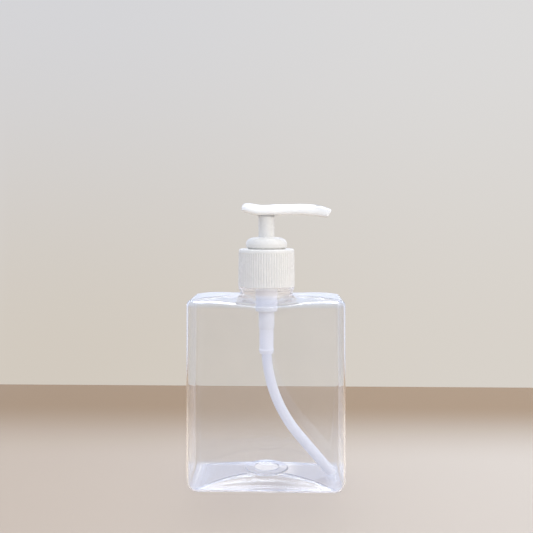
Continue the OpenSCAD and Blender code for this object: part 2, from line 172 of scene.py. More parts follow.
def profile(*parts: np.ndarray | list[Pair]) -> np.ndarray:
    """Joins stretches of a profile into one array of (radius, height) rows."""
    return np.concatenate([np.asarray(p, float).reshape(-1, 2) for p in parts])


def cubic(
    t: np.ndarray, ends: tuple[np.ndarray, np.ndarray], slopes: tuple[np.ndarray, np.ndarray], length: np.ndarray
) -> np.ndarray:
    """Cubic from one end to the other, with a given slope at each.

    From a with slope p to b with slope q over the length L it is (2t^3 - 3t^2 + 1) a
    + (t^3 - 2t^2 + t) L p + (3t^2 - 2t^3) b + (t^3 - t^2) L q.

    Args:
        t: share of the way.
        ends: values at the start and at the end.
        slopes: slopes at the start and at the end.
        length: length of the way.

    Returns:
        Values of the cubic.
    """
    (a, b), (p, q) = ends, slopes
    return (
        (2 * t**3 - 3 * t**2 + 1) * a
        + (t**3 - 2 * t**2 + t) * length * p
        + (3 * t**2 - 2 * t**3) * b
        + (t**3 - t**2) * length * q
    )


def curve_through(knots: np.ndarray, count: int) -> np.ndarray:
    """Points on one smooth curve through knots of any dimension.

    Each stretch is a cubic whose end slopes are the slopes of the neighbouring chords, weighted by
    the length of the other chord, so that unevenly spaced knots give no ripples.

    Args:
        knots: one row for each knot.
        count: number of points to return.

    Returns:
        Points spaced evenly along the chords.
    """
    step = np.sqrt((np.diff(knots, axis=0) ** 2).sum(1))
    at = np.concatenate([[0], np.cumsum(step)])
    chord = np.diff(knots, axis=0) / step[:, None]
    inner = (chord[:-1] * step[1:, None] + chord[1:] * step[:-1, None]) / (step[1:] + step[:-1])[:, None]
    slope = np.vstack([chord[:1], inner, chord[-1:]])
    s = np.linspace(0, at[-1], count)
    i = np.clip(np.searchsorted(at, s, side="right") - 1, 0, len(step) - 1)
    t = ((s - at[i]) / step[i])[:, None]
    return cubic(t, (knots[i], knots[i + 1]), (slope[i], slope[i + 1]), step[i][:, None])


@dataclass(frozen=True)
class Skin:
    """A closed surface: points in millimetres, and its faces as corner indices (quads, triangles)."""

    points: np.ndarray
    quads: np.ndarray
    triangles: np.ndarray

    @classmethod
    def over(cls, grid: np.ndarray, ends: Ends) -> Skin:
        """Covers a grid of points that closes on itself round each row.

        Args:
            grid: points as (rows, columns, 3).
            ends: how the end rows are finished.

        Returns:
            The surface, its faces pointing outwards.
        """
        rows, columns = grid.shape[:2]
        if ends is Ends.LOOP:
            points = grid.reshape(-1, 3)
            index = np.arange(rows * columns).reshape(rows, columns)
            lower, upper = index, np.roll(index, -1, axis=0)
            triangles = np.zeros((0, 3), int)
        else:
            inner = grid[1:-1].reshape(-1, 3)
            points = np.vstack([grid[0].mean(0), inner, grid[-1].mean(0)])
            index = 1 + np.arange(len(inner)).reshape(rows - 2, columns)
            lower, upper = index[:-1], index[1:]
            first, last = index[0], index[-1]
            foot, head = np.zeros(columns, int), np.full(columns, len(points) - 1)
            triangles = np.vstack(
                [
                    np.column_stack([foot, np.roll(first, -1), first]),
                    np.column_stack([head, last, np.roll(last, -1)]),
                ]
            )
        quads = np.stack([lower, np.roll(lower, -1, axis=1), np.roll(upper, -1, axis=1), upper], axis=-1)
        return cls(points, quads.reshape(-1, 4), triangles).outwards()

    def outwards(self) -> Skin:
        """Turns every face over if the surface encloses a negative volume.

        Returns:
            The surface with its faces pointing outwards.
        """
        corners = np.vstack([self.quads[:, [0, 1, 2]], self.quads[:, [0, 2, 3]], self.triangles])
        a, b, c = (self.points[corners[:, k]] for k in range(3))
        if np.einsum("ij,ij->i", a, np.cross(b, c)).sum() >= 0:
            return self
        return Skin(self.points, self.quads[:, ::-1], self.triangles[:, ::-1])

    def with_skin(self, other: Skin) -> Skin:
        """Puts another closed surface into the same piece.

        Args:
            other: the surface to add.

        Returns:
            Both surfaces as one.
        """
        shift = len(self.points)
        return Skin(
            np.vstack([self.points, other.points]),
            np.vstack([self.quads, other.quads + shift]),
            np.vstack([self.triangles, other.triangles + shift]),
        )

    def piece(self, name: str, crease: float = 40.0) -> bpy.types.Object:
        """Writes the surface as a mesh object in metres.

        Args:
            name: name of the piece.
            crease: edges sharper than this many degrees stay sharp.

        Returns:
            The object, at the origin.
        """
        mesh = bpy.data.meshes.new(name)
        mesh.from_pydata((self.points * MM).tolist(), [], self.quads.tolist() + self.triangles.tolist())
        mesh.validate()
        mesh.shade_smooth()
        mesh.set_sharp_from_angle(angle=math.radians(crease))
        made = bpy.data.objects.new(name, mesh)
        bpy.context.scene.collection.objects.link(made)
        return made


def full_turn(count: int) -> np.ndarray:
    """Angles spaced evenly over a full turn."""
    return np.arange(count) * TURN / count


def revolve(line: np.ndarray, a: np.ndarray) -> np.ndarray:
    """Turns a profile about the pump axis: (r cos a, r sin a, z) for every profile point and angle.

    Args:
        line: profile as rows of (radius, height).
        a: angles.

    Returns:
        Grid of points as (profile points, angles, 3).
    """
    r, z = line[:, :1], line[:, 1:]
    return np.stack([r * np.cos(a), r * np.sin(a), z + 0 * a], axis=-1)


@dataclass(frozen=True)
class Thread:
    """Screw thread on a cylinder about the pump axis, that ends below the top of the neck."""

    height: float
    pitch: float = 4.23
    turns: float = 1.5
    end: float = 2.2
    half_crest: float = 0.4
    half_foot: float = 1.15
    run_out: float = 1 / 6

    def on(self, wall: np.ndarray, angle: np.ndarray, radius: float, neck_top: float) -> np.ndarray:
        """Raises a cylinder's points where the thread passes.

        The thread's middle climbs by one pitch a turn. Its share of the full height is a smooth step
        that falls from 1 on the crest to 0 at the foot, and it fades out over a part of a turn at
        both ends.

        Args:
            wall: grid of points.
            angle: angles of its columns, from 0 to a full turn.
            radius: the cylinder's radius.
            neck_top: height of the top of the neck.

        Returns:
            The points, moved outwards, or inwards for a thread of negative height.
        """
        turn = angle / TURN + np.arange(3).reshape(3, 1, 1)
        start = neck_top - self.end - self.turns * self.pitch
        away = np.abs(wall[..., 2] - (start + self.pitch * turn))
        fade = ramp(turn, 0, self.run_out) * (1 - ramp(turn, self.turns - self.run_out, self.turns))
        share = ((1 - ramp(away, self.half_crest, self.half_foot)) * fade).max(axis=0)
        wall = wall.copy()
        wall[..., :2] *= (1 + share * self.height / radius)[..., None]
        return wall


# ---------------------------------------------------------------- finishes


def tone(red: int, green: int, blue: int) -> Colour:
    """Linear colour of three screen values from 0 to 255, by the sRGB curve."""
    s = np.array([red, green, blue]) / 255
    return tuple(np.where(s <= 0.04045, s / 12.92, ((s + 0.055) / 1.055) ** 2.4).tolist())


class Nodes:
    """A node tree that is filled in with short calls."""

    def __init__(self, tree: bpy.types.NodeTree) -> None:
        """Empties the tree."""
        self.tree = tree
        tree.nodes.clear()

    def add(
        self, kind: str, inputs: dict[str | int, object] | None = None, **settings: object
    ) -> bpy.types.Node:
        """Adds one node.

        Args:
            kind: node type without its ShaderNode prefix.
            inputs: socket name or number with a value, or with an output socket to link from.
            settings: plain properties of the node.

        Returns:
            The node.
        """
        node = self.tree.nodes.new("ShaderNode" + kind)
        for name, value in settings.items():
            setattr(node, name, value)
        for socket, value in (inputs or {}).items():
            if isinstance(value, Socket):
                self.tree.links.new(value, node.inputs[socket])
            else:
                node.inputs[socket].default_value = value
        return node

    def math(self, operation: str, *values: object) -> Socket:
        """Output of a Math node with these inputs."""
        return self.add("Math", dict(enumerate(values)), operation=operation).outputs[0]

    def product(self, first: Socket, *others: Socket) -> Socket:
        """Product of two or more values.

        Args:
            first: first value.
            others: values to multiply it with, in order.

        Returns:
            The product.
        """
        for other in others:
            first = self.math("MULTIPLY", first, other)
        return first

    def axes(self, coordinates: str = "Object") -> tuple[Socket, ...]:
        """X, Y and Z of the coordinates with this name."""
        split = self.add("SeparateXYZ", {0: self.add("TexCoord").outputs[coordinates]})
        return tuple(split.outputs)

    def mix(self, share: object, a: object, b: object) -> Socket:
        """Colour between two colours, a (1 - share) + b share.

        Args:
            share: number or socket, 0 for a and 1 for b.
            a: first colour, or a socket.
            b: second colour, or a socket.

        Returns:
            The mixed colour.
        """
        mixer = self.add("Mix", data_type="RGBA")
        for socket, value in ((mixer.inputs[0], share), (mixer.inputs[6], a), (mixer.inputs[7], b)):
            if isinstance(value, Socket):
                self.tree.links.new(value, socket)
            else:
                socket.default_value = (*value, 1) if isinstance(value, tuple) else value
        return mixer.outputs[2]

    def span(self, value: Socket, low: float, high: float, out: Pair = (0, 1)) -> Socket:
        """Value carried smoothly from low..high to the two output numbers.

        Args:
            value: value to carry over.
            low: value that gives the first output number.
            high: value that gives the second.
            out: the two output numbers.

        Returns:
            The new value.
        """
        inputs = {"Value": value, "From Min": low, "From Max": high, "To Min": out[0], "To Max": out[1]}
        return self.add("MapRange", inputs, interpolation_type="SMOOTHSTEP").outputs[0]

    def bump(self, height: Socket, strength: float, distance: float) -> Socket:
        """Normal that is tilted by the slope of a height."""
        return self.add("Bump", {"Height": height, "Strength": strength, "Distance": distance}).outputs[0]

    def shader(self, linked: dict[str, object], plain: dict[str, object]) -> Socket:
        """Principled surface.

        Args:
            linked: sockets that vary over the surface.
            plain: sockets that have one value everywhere.

        Returns:
            The shader's output.
        """
        return self.add("BsdfPrincipled", {**linked, **plain}).outputs[0]

    def lets_lamps_through(self, surface: Socket, colour: Colour) -> Socket:
        """Surface that stops only a share of the light on its way to what is behind.

        Args:
            surface: the surface as it is seen.
            colour: share of each colour that passes one wall.

        Returns:
            The surface, replaced by a clear film for shadow rays.
        """
        film = self.add("BsdfTransparent", {"Color": (*colour, 1)}).outputs[0]
        shadow = self.add("LightPath").outputs["Is Shadow Ray"]
        return self.add("MixShader", {0: shadow, 1: surface, 2: film}).outputs[0]

    def finish(self, surface: Socket) -> None:
        """Puts a surface out as the material's own."""
        self.add("OutputMaterial", {"Surface": surface})

    def noise(self, scale: float, detail: float = 2.0, stretch: Colour = (1, 1, 1)) -> Socket:
        """Height of a noise field that is fixed to the object.

        Args:
            scale: features in a metre.
            detail: octaves.
            stretch: scale along each axis.

        Returns:
            The field's value, from 0 to 1.
        """
        place = self.add("TexCoord").outputs["Object"]
        turned = self.add("Mapping", {"Vector": place, "Scale": stretch}).outputs[0]
        return self.add("TexNoise", {"Vector": turned, "Scale": scale, "Detail": detail}).outputs[0]


def blank(name: str) -> tuple[bpy.types.Material, Nodes]:
    """New material with an empty node tree, ready to be filled in.

    Args:
        name: name of the material.

    Returns:
        The material and its nodes.
    """
    made = bpy.data.materials.new(name)
    made.use_nodes = True
    return made, Nodes(made.node_tree)


@dataclass(frozen=True)
class OpaquePlastic:
    """Moulded plastic that hides what is behind it: slight mottling and a fine moulded grain.

    Passing is the share of lamp light that each wall lets through, for a thin pale moulding, and
    depth is how much of the light spreads below the surface.
    """

    name: str
    colour: Colour
    shade: Colour
    roughness: Pair = (0.22, 0.32)
    grain: float = 0.008
    grain_scale: float = 1500.0
    passing: float = 0.0
    depth: float = 0.0

    def material(self) -> bpy.types.Material:
        """Colour and roughness drift over centimetres, and the grain is a bump.

        Returns:
            The material.
        """
        made, n = blank(self.name)
        colour = n.mix(n.span(n.noise(60, 3), 0.35, 0.65), self.colour, self.shade)
        rough = n.span(n.noise(220, 2), 0.3, 0.7, self.roughness)
        bump = n.bump(n.noise(self.grain_scale, 2), self.grain, 0.0002)
        shader = n.shader(
            {"Base Color": colour, "Roughness": rough, "Normal": bump},
            {
                "IOR": 1.49,
                "Subsurface Weight": self.depth,
                "Subsurface Radius": (1.0, 0.97, 0.93),
                "Subsurface Scale": 0.005,
            },
        )
        n.finish(n.lets_lamps_through(shader, (self.passing,) * 3) if self.passing else shader)
        return made


@dataclass(frozen=True)
class ClearPlastic:
    """Blown clear plastic: glass-like, with slow waves in its faces and lamps shining through it.

    The haze is a pale sheen on every face. The veils are shares of light that the thick plastic
    scatters: over the shoulder, up the neck, in the base within its walls, and on the resting rim.
    Heights and distances are in metres.
    """

    name: str = "clear_blown_plastic"
    colour: Colour = (0.93, 0.937, 0.953)
    shade: Colour = (0.915, 0.924, 0.943)
    index: float = 1.57
    wave: float = 0.012
    haze: float = 0.6
    haze_spread: float = 0.2
    haze_colour: Colour = (0.76, 0.83, 1.0)
    veil_colour: Colour = (0.89, 0.925, 1.0)
    neck_colour: Colour = (0.97, 0.95, 0.93)
    top_veil: float = 0.07
    top_from: Pair = (0.0975, 0.1005)
    neck_veil: float = 0.08
    neck_from: Pair = (0.1025, 0.104)
    neck_tint: Pair = (0.1, 0.104)
    base_veil: float = 0.035
    base_to: Pair = (0.007, 0.009)
    base_half_width: Pair = (0.036, 0.041)
    base_half_depth: Pair = (0.0185, 0.0205)
    rim_veil: float = 0.15
    rim_to: Pair = (0.0008, 0.0022)

    def veil(self, n: Nodes) -> Socket:
        """Share of the light that the plastic scatters, by place.

        Args:
            n: node tree of the material.

        Returns:
            The share, top + neck + the larger of base and rim.
        """
        x, y, up = n.axes()
        across, out = n.math("ABSOLUTE", x), n.math("ABSOLUTE", y)
        top = n.span(up, *self.top_from, (0, self.top_veil))
        neck = n.span(up, *self.neck_from, (0, self.neck_veil))
        base = n.product(
            n.span(out, *self.base_half_depth, (1, 0)),
            n.span(across, *self.base_half_width, (1, 0)),
            n.span(up, *self.base_to, (self.base_veil, 0)),
        )
        rim = n.span(up, *self.rim_to, (self.rim_veil, 0))
        return n.math("ADD", n.math("ADD", top, neck), n.math("MAXIMUM", base, rim))

    def material(self) -> bpy.types.Material:
        """Principled glass with a faint drift of tint, waves as a bump, and clear shadows.

        Returns:
            The material.
        """
        made, n = blank(self.name)
        clear = n.mix(n.span(n.noise(45, 2), 0.3, 0.7), self.colour, self.shade)
        veil = self.veil(n)
        milk = n.mix(n.span(n.axes()[2], *self.neck_tint), self.veil_colour, self.neck_colour)
        shader = n.shader(
            {
                "Base Color": n.mix(n.math("GREATER_THAN", veil, 0.001), clear, milk),
                "Roughness": n.span(n.noise(120, 2), 0.3, 0.7, (0.0, 0.012)),
                "Normal": n.bump(n.noise(55, 1, (1, 1, 0.6)), self.wave, 0.0004),
                "Transmission Weight": n.math("SUBTRACT", 1.0, veil),
            },
            {
                "IOR": self.index,
                "Sheen Weight": self.haze,
                "Sheen Roughness": self.haze_spread,
                "Sheen Tint": (*self.haze_colour, 1),
            },
        )
        passing = n.add("BsdfTransparent", {"Color": (0.99, 0.99, 1, 1)}).outputs[0]
        path = n.add("LightPath").outputs
        soft = n.add("MixShader", {0: path["Is Diffuse Ray"], 1: shader, 2: passing}).outputs[0]
        n.finish(n.add("MixShader", {0: path["Is Shadow Ray"], 1: soft, 2: passing}).outputs[0])
        return made


@dataclass(frozen=True)
class MilkyPlastic:
    """Natural moulded plastic: a milky body that lets part of the light through.

    Cover is the share of what is behind that each skin hides, glow is the share of its light that
    soaks through from the far side, and passing is the share that goes on to what is behind.
    """

    name: str
    colour: Colour
    shade: Colour
    cover: float = 0.86
    glow: float = 0.24
    roughness: Pair = (0.16, 0.26)
    passing: Colour = (0.8, 0.83, 0.9)
    sheen_colour: Colour = (0.88, 0.94, 1.0)

    def material(self) -> bpy.types.Material:
        """Principled and Translucent together, with a sheen that makes the edges paler.

        Returns:
            The material.
        """
        made, n = blank(self.name)
        colour = n.mix(n.span(n.noise(260, 3), 0.35, 0.65), self.colour, self.shade)
        rough = n.span(n.noise(180, 2), 0.3, 0.7, self.roughness)
        shader = n.shader(
            {"Base Color": colour, "Roughness": rough, "Normal": n.bump(n.noise(900, 2), 0.01, 0.0003)},
            {
                "Alpha": self.cover,
                "IOR": 1.5,
                "Sheen Weight": 1.0,
                "Sheen Roughness": 0.3,
                "Sheen Tint": (*self.sheen_colour, 1),
            },
        )
        soaked = n.add("BsdfTranslucent", {"Color": colour}).outputs[0]
        both = n.add("MixShader", {0: self.glow, 1: shader, 2: soaked}).outputs[0]
        n.finish(n.lets_lamps_through(both, self.passing))
        return made


@dataclass(frozen=True)
class Steel:
    """Stainless steel: bright metal with fine drawn or polished marks."""

    name: str
    colour: Colour = (0.62, 0.62, 0.64)
    roughness: Pair = (0.16, 0.3)

    def material(self) -> bpy.types.Material:
        """Metal whose colour and roughness follow a fine noise.

        Returns:
            The material.
        """
        made, n = blank(self.name)
        colour = n.mix(n.noise(700, 3), self.colour, tuple(0.85 * c for c in self.colour))
        rough = n.span(n.noise(1600, 3), 0.3, 0.7, self.roughness)
        bump = n.bump(n.noise(3000, 2), 0.05, 0.0001)
        n.finish(n.shader({"Base Color": colour, "Roughness": rough, "Normal": bump}, {"Metallic": 1.0}))
        return made


@dataclass(frozen=True)
class Finishes:
    """Every finish of the dispenser, made once."""

    clear: bpy.types.Material
    white: bpy.types.Material
    closure: bpy.types.Material
    head: bpy.types.Material
    housing: bpy.types.Material
    tube: bpy.types.Material
    inner_white: bpy.types.Material
    soft: bpy.types.Material
    foam: bpy.types.Material
    spring: bpy.types.Material
    ball: bpy.types.Material

    @classmethod
    def made(cls) -> Finishes:
        """Makes the materials: three shades of white, clear, milky, soft, foam and two steels. The shades are
        painted light and shade on one white plastic: the head's white is painted lighter, and the moulded,
        closure and pump whites are painted darker.

        Returns:
            All of them.
        """
        # painted shade: this white is darker than the head's, standing in for shade on the closure, collar and
        # head tube
        white = OpaquePlastic("shaded_white_plastic", (0.80, 0.785, 0.75), (0.78, 0.767, 0.733))
        closure = replace(white, name="shaded_white_closure_plastic", passing=0.93, depth=0.2)
        # painted light: the head's white is lighter than the other whites, standing in for light on its lower
        # side
        head = OpaquePlastic(
            "lit_white_head_plastic", (0.915, 0.912, 0.89), (0.90, 0.897, 0.875), roughness=(0.12, 0.2), depth=0.9
        )
        # painted shade: the pump white on stem, plug and ball cage is darker than the head's white
        inner = OpaquePlastic("shaded_white_pump_plastic", (0.84, 0.84, 0.83), (0.80, 0.80, 0.79), (0.3, 0.42))
        soft = OpaquePlastic("soft_seal_plastic", (0.74, 0.78, 0.82), (0.70, 0.74, 0.79), (0.45, 0.6), 0.05)
        foam = OpaquePlastic("gasket_foam", (0.80, 0.80, 0.77), (0.72, 0.72, 0.69), (0.8, 0.95), 0.5, 2600)
        housing = MilkyPlastic("natural_housing_plastic", (0.91, 0.915, 0.94), (0.89, 0.895, 0.92))
        tube = MilkyPlastic("natural_tube_plastic", (0.825, 0.835, 0.87), (0.805, 0.815, 0.85))
        return cls(
            clear=ClearPlastic().material(),
            white=white.material(),
            closure=closure.material(),
            head=head.material(),
            housing=housing.material(),
            tube=tube.material(),
            inner_white=inner.material(),
            soft=soft.material(),
            foam=foam.material(),
            spring=Steel("drawn_spring_steel").material(),
            ball=Steel("polished_ball_steel", (0.70, 0.70, 0.71), (0.06, 0.12)).material(),
        )


def dress(piece: bpy.types.Object, finish: bpy.types.Material) -> None:
    """Puts one material on a piece or a CAD node, in every slot it has.

    Args:
        piece: the piece or the CAD node.
        finish: its material.
    """
    if not piece.data.materials:
        piece.data.materials.append(finish)
    for held in piece.material_slots:
        held.material = finish


def place(piece: bpy.types.Object, finish: bpy.types.Material, body: str, node: str, slot: str) -> None:
    """Dresses a new piece, lets it ride on its body and stand for its CAD node.

    Args:
        piece: the new piece.
        finish: its material.
        body: body it moves with.
        node: CAD node it stands for.
        slot: material slot of the record; not used.
    """
    dress(piece, finish)
    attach(piece, body)
    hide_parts(node)
    LOG.info("%s: %d faces, rides on %s", piece.name, len(piece.data.polygons), body)


# ---------------------------------------------------------------- bottle


@dataclass(frozen=True)
class Stations:
    """Places round a rounded rectangle: share of each straight, and the way the wall faces there."""

    along_x: np.ndarray
    along_y: np.ndarray
    facing_x: np.ndarray
    facing_y: np.ndarray

    @classmethod
    def spaced(cls, corner: int, wide: int, narrow: int) -> Stations:
        """Spaces the stations, turning from the +X corner through +Y.

        Args:
            corner: straight pieces round each corner.
            wide: places along the front and the back, between their corners.
            narrow: places along each side.

        Returns:
            The stations.
        """
        sign = np.array([[1, 1], [-1, 1], [-1, -1], [1, -1]], float)
        parts: list[np.ndarray] = []
        for k in range(4):
            a = np.radians(90 * k + np.linspace(0, 90, corner + 1))
            held = np.tile(sign[k], (corner + 1, 1))
            parts.append(np.column_stack([held, np.cos(a), np.sin(a)]))
            count = wide if k % 2 == 0 else narrow
            share = (np.arange(count)[:, None] + 1) / (count + 1)
            moving = sign[k] * (1 - share) + sign[(k + 1) % 4] * share
            facing = np.tile([math.cos(math.pi / 2 * (k + 1)), math.sin(math.pi / 2 * (k + 1))], (count, 1))
            parts.append(np.column_stack([moving, np.round(facing)]))
        return cls(*np.vstack(parts).T)

    def ring(
        self, half_x: np.ndarray, half_y: np.ndarray, corner: np.ndarray
    ) -> tuple[np.ndarray, np.ndarray]:
        """Plan of a rounded rectangle: straight share times the half side, plus the corner's arc.

        Args:
            half_x: half width, one row for each ring.
            half_y: half depth, one row for each ring.
            corner: corner radius, one row for each ring.

        Returns:
            X and Y of every station on every ring.
        """
        x = self.along_x * (half_x - corner) + corner * self.facing_x
        y = self.along_y * (half_y - corner) + corner * self.facing_y
        return x, y


@dataclass
class Bottle:
    """Clear blown bottle, as one closed wall: underside, walls, shoulder, neck, and back down inside."""

    extent: Extent = extent_of("bottle")
    closure: Extent = extent_of("closure")
    shoulder_height: float = 101.2
    wall: float = 0.7
    corner_radius: float = 6.0
    side_radius: float = 3.0
    front_radius: float = 2.4
    facet_radius: float = 6.5
    facet_turns: Pair = (56.0, 64.0)
    crest_radius: float = 3.0
    crest_corner: float = 2.6
    crest_inset: Pair = (4.0, 5.0)
    saddle_drop: float = 2.3
    saddle_half_width: float = 30.0
    edge_slope: float = 0.075
    side_edge_slope: float = 0.125
    foot_slopes: Pair = (0.03, 0.95)
    heel_radius: float = 5.0
    front_heel: float = 1.9
    heel_corner: float = 2.6
    rim_width: float = 0.8
    vault_rise: float = 5.7
    vault_wall: float = 0.9
    slope_top: float = 4.1
    steps: float = 2.7
    step_height: float = 0.016
    pad_radius: float = 11.7
    pad_edge: float = 0.35
    pad_lift: float = 0.4
    pad_cone: float = 0.1
    dimple_radius: float = 7.0
    dimple_edge: Pair = (0.6, 0.2)
    dimple_depth: float = 0.4
    foot_radius: float = 14.6
    foot_height: float = 102.9
    foot_drop: float = 0.8
    bead_radius: float = 15.55
    bead_gap: float = 0.2
    neck_radius: float = 12.6
    bore_radius: float = 10.9
    thread: Thread = Thread(1.1)
    lip_radius: float = 0.45
    throat: tuple[Pair, ...] = (
        (10.9, 107.6), (11.1, 107.0), (12.0, 106.85), (13.5, 106.8), (13.95, 106.55),
        (14.05, 106.1), (13.9, 105.3), (13.55, 104.3), (13.25, 103.4), (13.45, 102.5),
    )  # fmt: skip
    inner_foot: Pair = (14.0, 102.1)
    stations: Stations = field(default_factory=lambda: Stations.spaced(16, 71, 29))

    @property
    def half_width(self) -> float:
        """Half the width of the front face."""
        return self.extent.reach

    @property
    def half_depth(self) -> float:
        """Half the depth."""
        return self.extent.half_depth

    @property
    def angles(self) -> np.ndarray:
        """Angle of every station about the pump axis, as seen at the edge of the shoulder.

        Returns:
            Angles in radians.
        """
        inset_x, inset_y = self.crest_inset
        x, y = self.stations.ring(self.half_width - inset_x, self.half_depth - inset_y, self.crest_corner)
        return np.arctan2(y, x)

    def rise(self, x: np.ndarray, y: np.ndarray, thickness: float) -> np.ndarray:
        """Height of the vaulted push-up.

        The lower of a circular arch across the width and a straight slope from front and back,
        blended. The slope is crossed by faint steps, nested under the line where it meets the arch.
        The round pad stands on top: a shallow cone around a level disc.

        Args:
            x: distances across the width.
            y: distances from front to back.
            thickness: 0 for the underside, or the push-up's wall for its upper face.

        Returns:
            Heights.
        """
        span = self.half_width - self.heel_radius - self.rim_width
        radius = (span**2 + self.vault_rise**2) / (2 * self.vault_rise)
        arch = self.vault_rise - radius + np.sqrt((radius + thickness) ** 2 - x**2)
        start = self.wall if thickness else 0.0
        foot = self.half_depth - self.front_heel - (0.0 if thickness else self.rim_width)
        steep = (self.slope_top + thickness - start) / (foot - self.pad_radius)
        slope = start + (foot - np.abs(y)) * steep
        run = np.maximum((arch - start) / steep, 0.5)
        share = 1 - (foot - np.abs(y)) / run
        faded = ramp(share, -0.05, 0.15) * (1 - ramp(share, 0.85, 1.0))
        ripple = self.step_height * run * np.sin(TURN * (self.steps * share - 0.1)) * faded
        vault = smooth_min(arch, slope + ripple, 0.5)
        out = np.hypot(x, y)
        pad = 1 - ramp(out, self.pad_radius - self.pad_edge, self.pad_radius + self.pad_edge)
        inner_edge, outer_edge = self.dimple_edge
        dimple = 1 - ramp(out, self.dimple_radius - inner_edge, self.dimple_radius + outer_edge)
        cone = np.clip(out - self.dimple_radius, 0, None) * self.pad_cone
        crowned = self.vault_rise + thickness + self.pad_lift - cone
        return vault * (1 - pad) + crowned * pad - self.dimple_depth * dimple

    def base(self, thickness: float) -> np.ndarray:
        """Underside or inside of the base, from the middle out to the heel.

        Rings start as circles and turn into the rounded rectangle of the resting rim. Their height is
        the push-up's, or the floor's where that is higher.

        Args:
            thickness: 0 for the underside, or the wall for the inside.

        Returns:
            Grid of points.
        """
        stretches = ((0, 6, 5), (6.3, 7.4, 6), (8.2, 10.8, 4), (11.2, 12.2, 6))
        circles = np.concatenate([np.linspace(*stretch) for stretch in stretches])[:, None]
        round_x, round_y = circles * np.cos(self.angles), circles * np.sin(self.angles)
        rim_x, rim_y = self.stations.ring(
            self.half_width - self.heel_radius - self.rim_width,
            self.half_depth - self.front_heel - self.rim_width,
            self.heel_corner - self.rim_width / 2,
        )
        share = np.linspace(0, 1, 31)[1:, None]
        x = np.vstack([round_x, round_x[-1] + share * (rim_x - round_x[-1])])
        y = np.vstack([round_y, round_y[-1] + share * (rim_y - round_y[-1])])
        wall, floor, band = (self.vault_wall, self.wall, 1.6) if thickness else (0.0, 0.0, 0.5)
        z = smooth_max(self.rise(x, y, wall), np.full_like(x, floor), band)
        return np.stack([x, y, z], axis=-1)

    def heel(self, inset: float) -> np.ndarray:
        """Quarter round from the resting rim up into the wall, small at front and back, wide at the sides.

        Args:
            inset: distance inside the outer face.

        Returns:
            Grid of points.
        """
        a = np.radians(np.linspace(0, 90, 11))[:, None]
        wide, small = self.heel_radius - inset, self.front_heel - inset
        away = 1 - np.sin(a)
        corner = self.corner_radius - inset - (self.corner_radius - self.heel_corner) * away
        half_x, half_y = self.half_width - inset - wide * away, self.half_depth - inset - small * away
        x, y = self.stations.ring(half_x, half_y, corner)
        facing = self.stations.facing_x**2
        z = inset + (facing * wide + (1 - facing) * small) * (1 - np.cos(a))
        return np.stack([x, y, z], axis=-1)

    def saddle(self) -> np.ndarray:
        """Share of the dip in the front and back edges, cos squared across the middle of each face.

        Returns:
            One share for each station, 0 at the sides.
        """
        x = self.stations.along_x * (self.half_width - self.corner_radius)
        share = np.cos(np.clip(x / self.saddle_half_width, -1, 1) * math.pi / 2) ** 2
        return share * self.stations.facing_y**2

    def shoulder(self, inset: float) -> np.ndarray:
        """Wall's top edge, from the upright faces on to the shoulder.

        Towards the sides it is a quarter round. Towards front and back it is three arcs end to end:
        a small one, a long shallow one that makes a soft facet, and one on to level. In the saddle the
        whole edge sinks and the last arc is left out.

        Args:
            inset: distance inside the outer face.

        Returns:
            Grid of points.
        """
        dip = self.saddle()
        facing = self.stations.facing_x**2
        low_turn, high_turn = (math.radians(a) for a in self.facet_turns)
        away, up = [np.zeros((1, len(dip)))], [np.zeros((1, len(dip)))]
        for radius, start, end, steps in (
            (self.front_radius, 0.0, low_turn, 10),
            (self.facet_radius, low_turn, high_turn, 6),
            (self.crest_radius, high_turn, high_turn + (math.pi / 2 - high_turn) * (1 - dip), 8),
        ):
            turn = start + (end - start) * np.linspace(0, 1, steps + 1)[1:, None]
            away.append(away[-1][-1:] + (radius - inset) * (math.cos(start) - np.cos(turn)) + 0 * dip)
            up.append(up[-1][-1:] + (radius - inset) * (np.sin(turn) - math.sin(start)) + 0 * dip)
        away, up = np.vstack(away), np.vstack(up)
        low = self.shoulder_height - up[-1].max() - inset - self.saddle_drop * dip
        turn = np.radians(90) * np.linspace(0, 1, len(up))[:, None]
        side = self.side_radius - inset
        away_x, up_x = side * (1 - np.cos(turn)), side * np.sin(turn)
        corner = self.corner_radius - inset - (self.corner_radius - self.crest_corner) * (1 - np.cos(turn))
        x, y = self.stations.ring(self.half_width - inset - away_x, self.half_depth - inset - away, corner)
        z = facing * (self.shoulder_height - self.side_radius + up_x) + (1 - facing) * (low + up)
        return np.stack([x, y, z], axis=-1)

    def top(self, edge: np.ndarray, radius: float, height: float) -> np.ndarray:
        """Shoulder's upper face: cubics from the wall's top edge in to a circle at the neck's foot.

        Args:
            edge: last ring of the shoulder's arc.
            radius: radius of the circle.
            height: height of the circle at the sides; front and back lie lower.

        Returns:
            Grid of points, without the edge itself.
        """
        dip = self.saddle()
        a = self.angles
        foot = np.stack([radius * np.cos(a), radius * np.sin(a)], axis=-1)
        height = height - self.foot_drop * np.sin(a) ** 4
        length = np.hypot(*(foot - edge[:, :2]).T)
        start = self.edge_slope + self.side_edge_slope * self.stations.facing_x**2
        leave = start * (1 - dip) + dip * math.tan(math.radians(90 - self.facet_turns[1]))
        arrive = self.foot_slopes[0] * (1 - dip) + self.foot_slopes[1] * dip
        t = np.linspace(0, 1, 23)[1:, None]
        x = edge[:, 0] + t * (foot[:, 0] - edge[:, 0])
        y = edge[:, 1] + t * (foot[:, 1] - edge[:, 1])
        z = cubic(t, (edge[:, 2], height), (leave, arrive), length)
        return np.stack([x, y, z], axis=-1)

